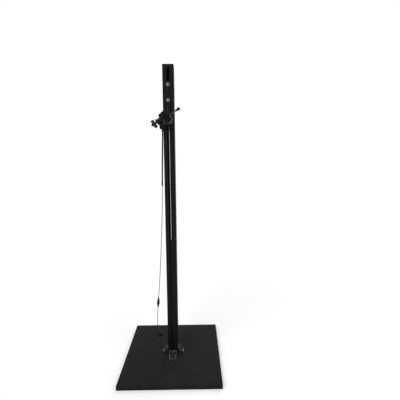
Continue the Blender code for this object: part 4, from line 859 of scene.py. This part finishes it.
def dress_nodes():
    """Gives each CAD node the finish of its slot."""
    for row in frame["record"]["subparts"]:
        node = frame["nodes"][row["node"]]
        mesh = node.data
        mesh.materials.clear()
        mesh.materials.append(FINISHES[row["material_slot"]])
        if "custom_normal" in mesh.attributes:
            mesh.attributes.remove(mesh.attributes["custom_normal"])
        mesh.shade_smooth()
        weld = node.modifiers.new("weld", "WELD")
        weld.merge_threshold = WELD_REACH
        edge = node.modifiers.new("edges", "BEVEL")
        edge.width = EDGE
        edge.segments = EDGE_SEGMENTS
        edge.limit_method = "ANGLE"
        edge.angle_limit = SMOOTH
        edge.use_clamp_overlap = False
        edge.harden_normals = True


dress_nodes()


# Bolts and screws

def bolt(node, name, body, outward, size, nut=0.0, plate=None, slot="bolt_zinc"):
    """A hexagon bolt with its washer and thread, in the place of the CAD one."""
    low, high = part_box(node)
    direction = Vector(outward)
    half = abs((high - low).dot(direction)) / 2
    side = (0.0, 0.0, 1.0) if outward[2] == 0 else (1, 0, 0)
    place = facing((low + high) / 2 + direction * half, direction, side)
    tip = -2 * half
    inner = tip + SHANK_PAST_NUT
    under = -size["head"]
    seat = under - size["washer_thick"]
    corner, pitch = size["corner"], size["pitch"]
    shapes = [hex_prism(corner, under + 0.0003, 0.0),
              turned(rounded_disc(corner * 0.84, under, under + 0.0004, 0.0001)),
              turned(rounded_disc(size["washer"], seat, under, 0.0003)),
              threaded(size["shank"], tip, seat + 0.0005, pitch, pitch * THREAD_DEPTH)]
    if nut:
        shapes.append(hex_prism(corner, inner, inner + nut, both_ends=True))
    if plate:
        wide, tall, thick = plate
        shapes.append(rounded_box((-tall / 2, -wide / 2, inner), (tall / 2, wide / 2, inner + thick), 0.0008))
    return piece(name, shapes, slot, body, [node], place)


def bolts():
    """The bolts of the four brackets and of the carriage plate."""
    sides = {"right": (1, 0, 0), "left": (-1, 0, 0), "back": (0, 1, 0), "front": (0, -1, 0)}
    for side, outward in sides.items():
        bolt("floor_bolt_" + side, "floor_bolt_set_" + side, "stand", (0, 0, 1), M8_BOLT, slot="dark_steel")
        holder = {"plate": CLAMP_PLATE} if side == "front" else {"nut": M8_NUT}
        bolt("column_bolt_" + side, "column_bolt_set_" + side, "stand", outward, M8_BOLT, **holder)
    for level in ("lower", "upper"):
        bolt("carriage_bolt_" + level, "carriage_bolt_set_" + level, "carriage", (0, -1, 0), M12_BOLT)


bolts()

HEAD_AT = Vector(JOINTS["head_turn"]["pos_m"])
CLOSING = Vector(JOINTS["jaw_slide"]["axis"])
HEAD = facing(HEAD_AT, CLOSING.cross(Vector((0.0, 1.0, 0.0))), CLOSING)


def head_screws():
    """Four button screws that hold the head plate to its hub, and two on the latch's cover."""
    places = [(across, up) for up in (HEAD_SCREW_UP, -HEAD_SCREW_UP)
              for across in (-HEAD_SCREW_ACROSS, HEAD_SCREW_ACROSS)]
    for number, (across, up) in enumerate(places):
        at = HEAD @ Vector((across, HEAD_SCREW_FRONT, up))
        piece(f"head_screw_{number + 1}", [socket_screw(*HEAD_SCREW)], "dark_steel", "head",
              place=facing(at, (0, -1, 0), CLOSING))
    low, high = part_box("latch_housing")
    for name, height in (("lower", low.z + LATCH_SCREW_INSET), ("upper", high.z - LATCH_SCREW_INSET)):
        at = Vector((low.x, (low.y + high.y) / 2, height))
        piece("latch_screw_" + name, [socket_screw(*LATCH_SCREW)], "dark_steel", "stand",
              place=facing(at, (-1, 0, 0)))


head_screws()


# Clamp: screw, knob, pads and lever

SCREW_PITCH = 0.004
SCREW_CORE = 0.0050
DOME_NUT_RADIUS = 0.0071
KNOB_LOBES = 6
KNOB_LOBE_DEPTH = 0.0055
KNOB_RIM = 0.0035
KNOB_STEPS = 6
KNOB_SIDES = 96
KNOB_DISH = 0.0016
PAD_THICK = 0.005
PAD_LIP = 0.004
PAD_EDGE = 0.0007
PAD_ROWS = 96
PAD_COLUMNS = 24
PAD_RIB = 0.0005
PAD_RIB_PITCH = 0.004
LEVER_ROD = 0.0048      # radius of the ball's opening round the lever
LEVER_NECK = ((0.0041, -0.0195), (0.0060, -0.0190), (0.0068, -0.0165), (0.0068, -0.0130),
              (0.0058, -0.0105), (0.0041, -0.0100))
BALL_STEPS = 24


def lobed(base, depth, share=1.0):
    """The radius of the knob's lobed outline at an angle."""
    return lambda angle: (base - depth * (1 - math.cos(KNOB_LOBES * angle)) / 2) * share


def knob_rings(radius, low, high):
    """A lobed knob with round rims, a dish on its outer face and a bore."""
    turns = [math.pi / 2 * n / KNOB_STEPS for n in range(KNOB_STEPS + 1)]
    quarter = [(1 - math.sin(turn), 1 - math.cos(turn)) for turn in turns]
    profile = [(inward, high - KNOB_RIM * drop) for inward, drop in quarter]
    profile += [(inward, low + KNOB_RIM * drop) for drop, inward in quarter]
    rings = [ring(lobed(radius, KNOB_LOBE_DEPTH, 1 - KNOB_RIM * inward / radius), height, KNOB_SIDES)
             for inward, height in profile]
    for outline, height in ((lobed(radius * 0.74, KNOB_LOBE_DEPTH * 0.5), low),
                            (radius * 0.56, low + KNOB_DISH), (radius * 0.42, low + KNOB_DISH),
                            (0.0054, low + 0.0002), (0.0053, high)):
        rings.append(ring(outline, height, KNOB_SIDES))
    return rings


def clamp_screw_and_knob():
    """The screw with its dome nut, and the knob on it."""
    low, high = local_box("clamp_screw", HEAD)
    knob_low, knob_high = local_box("clamp_knob", HEAD)
    middle = (low.y + high.y) / 2
    place = facing(HEAD @ Vector((0.0, middle, 0.0)), CLOSING, (0, -1, 0))
    shoulder = knob_high.x + 0.0003
    nut_in = knob_low.x - 0.0003
    nut = nut_in - low.x
    dome = [(DOME_NUT_RADIUS, nut_in - 0.35 * nut)]
    for n in range(6):
        angle = math.radians(15 * n)
        dome.append((DOME_NUT_RADIUS * math.cos(angle), nut_in - 0.40 * nut - 0.60 * nut * math.sin(angle)))
    dome.append((0.0006, low.x))
    shapes = [threaded(0.007, shoulder, high.x, SCREW_PITCH, 0.0011, sides=48),
              turned([(SCREW_CORE, nut_in), (SCREW_CORE, shoulder + 0.0005)]),
              hex_prism(0.0085, nut_in - 0.45 * nut, nut_in),
              turned(dome)]
    piece("threaded_clamp_screw", shapes, "dark_steel", "screw", ["clamp_screw"], place)
    knob = loft(knob_rings((knob_high.z - knob_low.z) / 2, knob_low.x, knob_high.x), closed=True)
    piece("lobed_clamp_knob", [knob], "black_plastic", "screw", ["clamp_knob"], place)


def jaw_pads():
    """Rubber pads with a hollow face and ribs across the clamped tube."""
    for node, name, body, side in (("fixed_jaw_pad", "ribbed_fixed_pad", "head", 1),
                                   ("moving_jaw_pad", "ribbed_moving_pad", "jaw", -1)):
        low, high = local_box(node, HEAD)
        back = high.x if side > 0 else low.x
        middle_y, half_y = (low.y + high.y) / 2, (high.y - low.y) / 2
        half_z = (high.z - low.z) / 2
        rings = []
        for n in range(PAD_ROWS + 1):
            height = -half_z + 2 * half_z * n / PAD_ROWS
            inset = max(0.0, PAD_EDGE - (half_z - abs(height)))
            rib = PAD_RIB * (1 - math.cos(2 * math.pi * height / PAD_RIB_PITCH)) / 2
            points = []
            for k in range(PAD_COLUMNS + 1):
                share = 2 * k / PAD_COLUMNS - 1
                depth = PAD_THICK + PAD_LIP * share * share - rib - inset
                points.append(Vector((back - side * depth, middle_y + (half_y - inset) * share, height)))
            for share in (1, -1):
                points.append(Vector((back, middle_y + (half_y - inset) * share, height)))
            rings.append(points)
        piece(name, [loft(rings)], "pad_rubber", body, [node], HEAD)


def lever():
    """The lever's ball and the moulded neck below it."""
    low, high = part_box("lever_ball")
    centre = (low + high) / 2
    outward = centre - Vector(JOINTS["lock_turn"]["pos_m"])
    outward.y = 0.0
    place = facing(centre, outward, (0, -1, 0))
    radius = (high.y - low.y) / 2
    profile = [(0.0043, -radius * 0.90), (LEVER_ROD, -radius * 0.90)]
    for n in range(1, BALL_STEPS + 1):
        angle = -math.pi / 2 + math.pi * n / BALL_STEPS
        if radius * math.cos(angle) > LEVER_ROD or angle > 0:
            profile.append((max(0.0002, radius * math.cos(angle)), radius * math.sin(angle)))
    piece("lever_ball_knob", [turned(profile)], "black_plastic", "lock", ["lever_ball"], place)
    piece("lever_ball_neck", [turned(LEVER_NECK)], "black_plastic", "lock", place=place)


clamp_screw_and_knob()
jaw_pads()
lever()


# Rollers, feet, cord gland and anchor

RACE = 0.66             # share of a roller's radius where the tyre sits on the bearing
BEARING_BORE = 0.0053
BEARING_INSET = 0.001
SHIELD_INSET = 0.0016
GLAND_RIBS = 5
GLAND_HEAD = 0.0058
GLAND_LIP = 0.0008
ANCHOR_NECK = 0.0075
ANCHOR_STEPS = 12


def rollers():
    """Nylon tyres on shielded ball bearings."""
    for level, hand in (("upper", "left"), ("upper", "right"), ("lower", "left"), ("lower", "right")):
        node = f"roller_{level}_{hand}"
        body = f"{level}_{hand}_roller"
        low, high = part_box(node)
        half = (high.x - low.x) / 2
        radius = (high.z - low.z) / 2
        place = facing((low + high) / 2, (1, 0, 0), (0, 0, 1))
        race = radius * RACE
        tyre = [(race, half - 0.0006)]
        tyre += [(reach, -height) for reach, height in rounded_disc(radius, -half, half, 0.0014)]
        tyre.append((race, -half + 0.0006))
        piece(node + "_tyre", [turned(tyre, closed=True)], "roller_nylon", body, [node], place)
        inner_side = [(race, BEARING_INSET - half), (race * 0.88, BEARING_INSET - half),
                      (race * 0.86, SHIELD_INSET - half), (race * 0.66, SHIELD_INSET - half),
                      (race * 0.64, BEARING_INSET - half), (BEARING_BORE, BEARING_INSET - half)]
        outer_side = [(reach, -height) for reach, height in reversed(inner_side)]
        piece(node + "_bearing", [turned(inner_side + outer_side, closed=True)], "dark_steel", body,
              place=place)


def feet():
    """Moulded rubber feet with a ribbed sole."""
    for depth, hand in (("front", "left"), ("front", "right"), ("back", "left"), ("back", "right")):
        node = f"rubber_foot_{depth}_{hand}"
        low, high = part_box(node)
        centre = (low + high) / 2
        radius = (high.x - low.x) / 2
        height = high.z - low.z
        profile = [(radius * 0.90, height), (radius * 0.985, height * 0.85), (radius, height * 0.30),
                   (radius * 0.985, height * 0.06), (radius * 0.96, 0.0)]
        for share in (0.80, 0.60, 0.40):
            profile += [(radius * (share + 0.05), 0.0), (radius * (share + 0.035), height * 0.2),
                        (radius * (share - 0.035), height * 0.2), (radius * (share - 0.05), 0.0)]
        profile += [(radius * 0.15, 0.0), (radius * 0.12, height * 0.5)]
        place = Matrix.Translation((centre.x, centre.y, low.z))
        piece(f"ribbed_foot_{depth}_{hand}", [turned(profile)], "foot_rubber", "stand", [node], place)


def cord_gland():
    """A gland whose ribs grow towards its head."""
    low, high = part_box("cord_gland")
    top, bottom = high.z, low.z
    radius = (high.x - low.x) / 2
    throat = SLEEVE_RADIUS + 0.0001
    nose = SLEEVE_RADIUS + 0.0007
    profile = [(throat, bottom + GLAND_LIP), (throat, bottom), (nose, bottom)]
    body_top = top - GLAND_HEAD
    first = bottom + GLAND_LIP
    pitch = (body_top - first) / GLAND_RIBS
    for n in range(GLAND_RIBS):
        base = first + pitch * n
        swell = nose + (radius - SLEEVE_RADIUS - 0.0016) * n / GLAND_RIBS
        profile += [(swell, base), (swell + 0.0004, base + pitch * 0.12),
                    (swell + 0.0004, base + pitch * 0.58), (swell - 0.0003, base + pitch * 0.68)]
    profile += [(radius * 0.86, body_top), (radius * 0.97, body_top + 0.0002), (radius, body_top + 0.0006),
                (radius, top - 0.0004), (radius * 0.97, top), (SLEEVE_RADIUS, top)]
    centre = (low + high) / 2
    place = Matrix.Translation((centre.x, centre.y, 0.0))
    piece("ribbed_cord_gland", [turned(profile)], "black_plastic", "stand", ["cord_gland"], place)


def cord_anchor():
    """A flat dome on the base plate that rises to the cord's collar."""
    low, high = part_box("cord_anchor")
    radius = (high.x - low.x) / 2
    height = high.z - low.z
    profile = [(radius * 0.97, 0.0), (radius, height * 0.05), (radius, height * 0.17),
               (radius * 0.985, height * 0.21)]
    for n in range(ANCHOR_STEPS + 1):
        angle = math.pi / 2 * n / ANCHOR_STEPS
        profile.append((ANCHOR_NECK + (radius * 0.95 - ANCHOR_NECK) * math.cos(angle),
                        height * (0.23 + 0.50 * math.sin(angle) ** 1.3)))
    profile += [(0.0068, height * 0.80), (0.0066, height * 0.95), (0.0060, height), (0.0040, height),
                (0.0031, height * 0.96), (0.0028, height * 0.80)]
    centre = (low + high) / 2
    place = Matrix.Translation((centre.x, centre.y, low.z))
    piece("domed_cord_anchor", [turned(profile)], "foot_rubber", "stand", ["cord_anchor"], place)


rollers()
feet()
cord_gland()
cord_anchor()


# Weld beads on the arm

ARM_HALF = 0.025
ARM_CORNER = 0.0052
HOUSING_LENGTH = 0.050
BEAD = 0.0021
BASE_BEAD = 0.0024
BEAD_STEP = 0.0007
BEAD_SCALE = 0.0032
GUSSET_SIDE = 0.0042


def scales(angle, distance):
    """The swell of a weld bead's scales, the same all round."""
    return 0.84 + 0.16 * abs(math.sin(math.pi * distance / BEAD_SCALE))


def bead(name, points, radius=BEAD, closed=False):
    """A weld bead on the carriage with its scales, along points that are joined in straight runs."""
    path = [Vector(point) for point in points]
    if closed:
        path.append(path[0])
    fine = [path[0]]
    for a, b in zip(path, path[1:]):
        count = max(1, round((b - a).length / BEAD_STEP))
        fine += [a.lerp(b, n / count) for n in range(1, count + 1)]
    piece(name, [tube(fine, radius, 12, scales)], "frame_paint", "carriage", smooth=BEAD_SMOOTH)


def square_path(half, corner, y, centre_z, steps=5):
    """A rounded square round the arm's axis, in a plane square to Y."""
    points = []
    for number, (cx, cz) in enumerate(((1, 1), (-1, 1), (-1, -1), (1, -1))):
        for n in range(steps + 1):
            angle = math.pi / 2 * (number + n / steps)
            points.append((cx * (half - corner) + corner * math.cos(angle), y,
                           centre_z + cz * (half - corner) + corner * math.sin(angle)))
    return points


def welds():
    """Beads round both ends of the arm, and along the gusset's two edges on each side."""
    arm_low, arm_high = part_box("arm")
    plate_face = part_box("carriage_plate")[0].y
    axis_z = JOINTS["lock_turn"]["pos_m"][2]
    housing_back = arm_low.y + HOUSING_LENGTH
    at_plate = square_path(ARM_HALF + 0.0004, ARM_CORNER, plate_face - 0.0006, axis_z)
    bead("weld_arm_to_plate", at_plate, BASE_BEAD, closed=True)
    at_housing = square_path(ARM_HALF + 0.0002, ARM_CORNER, housing_back + 0.0006, axis_z)
    bead("weld_arm_to_housing", at_housing, closed=True)
    on_arm = axis_z + ARM_HALF + 0.0003
    for hand, side in (("left", -1), ("right", 1)):
        x = side * GUSSET_SIDE
        on_plate = plate_face - 0.0005
        bead("weld_gusset_to_plate_" + hand,
             [(x, on_plate, axis_z + ARM_HALF + 0.003), (x, on_plate, arm_high.z - 0.001)])
        bead("weld_gusset_to_arm_" + hand,
             [(x, plate_face - 0.003, on_arm), (x, housing_back + 0.0065, on_arm)])


welds()
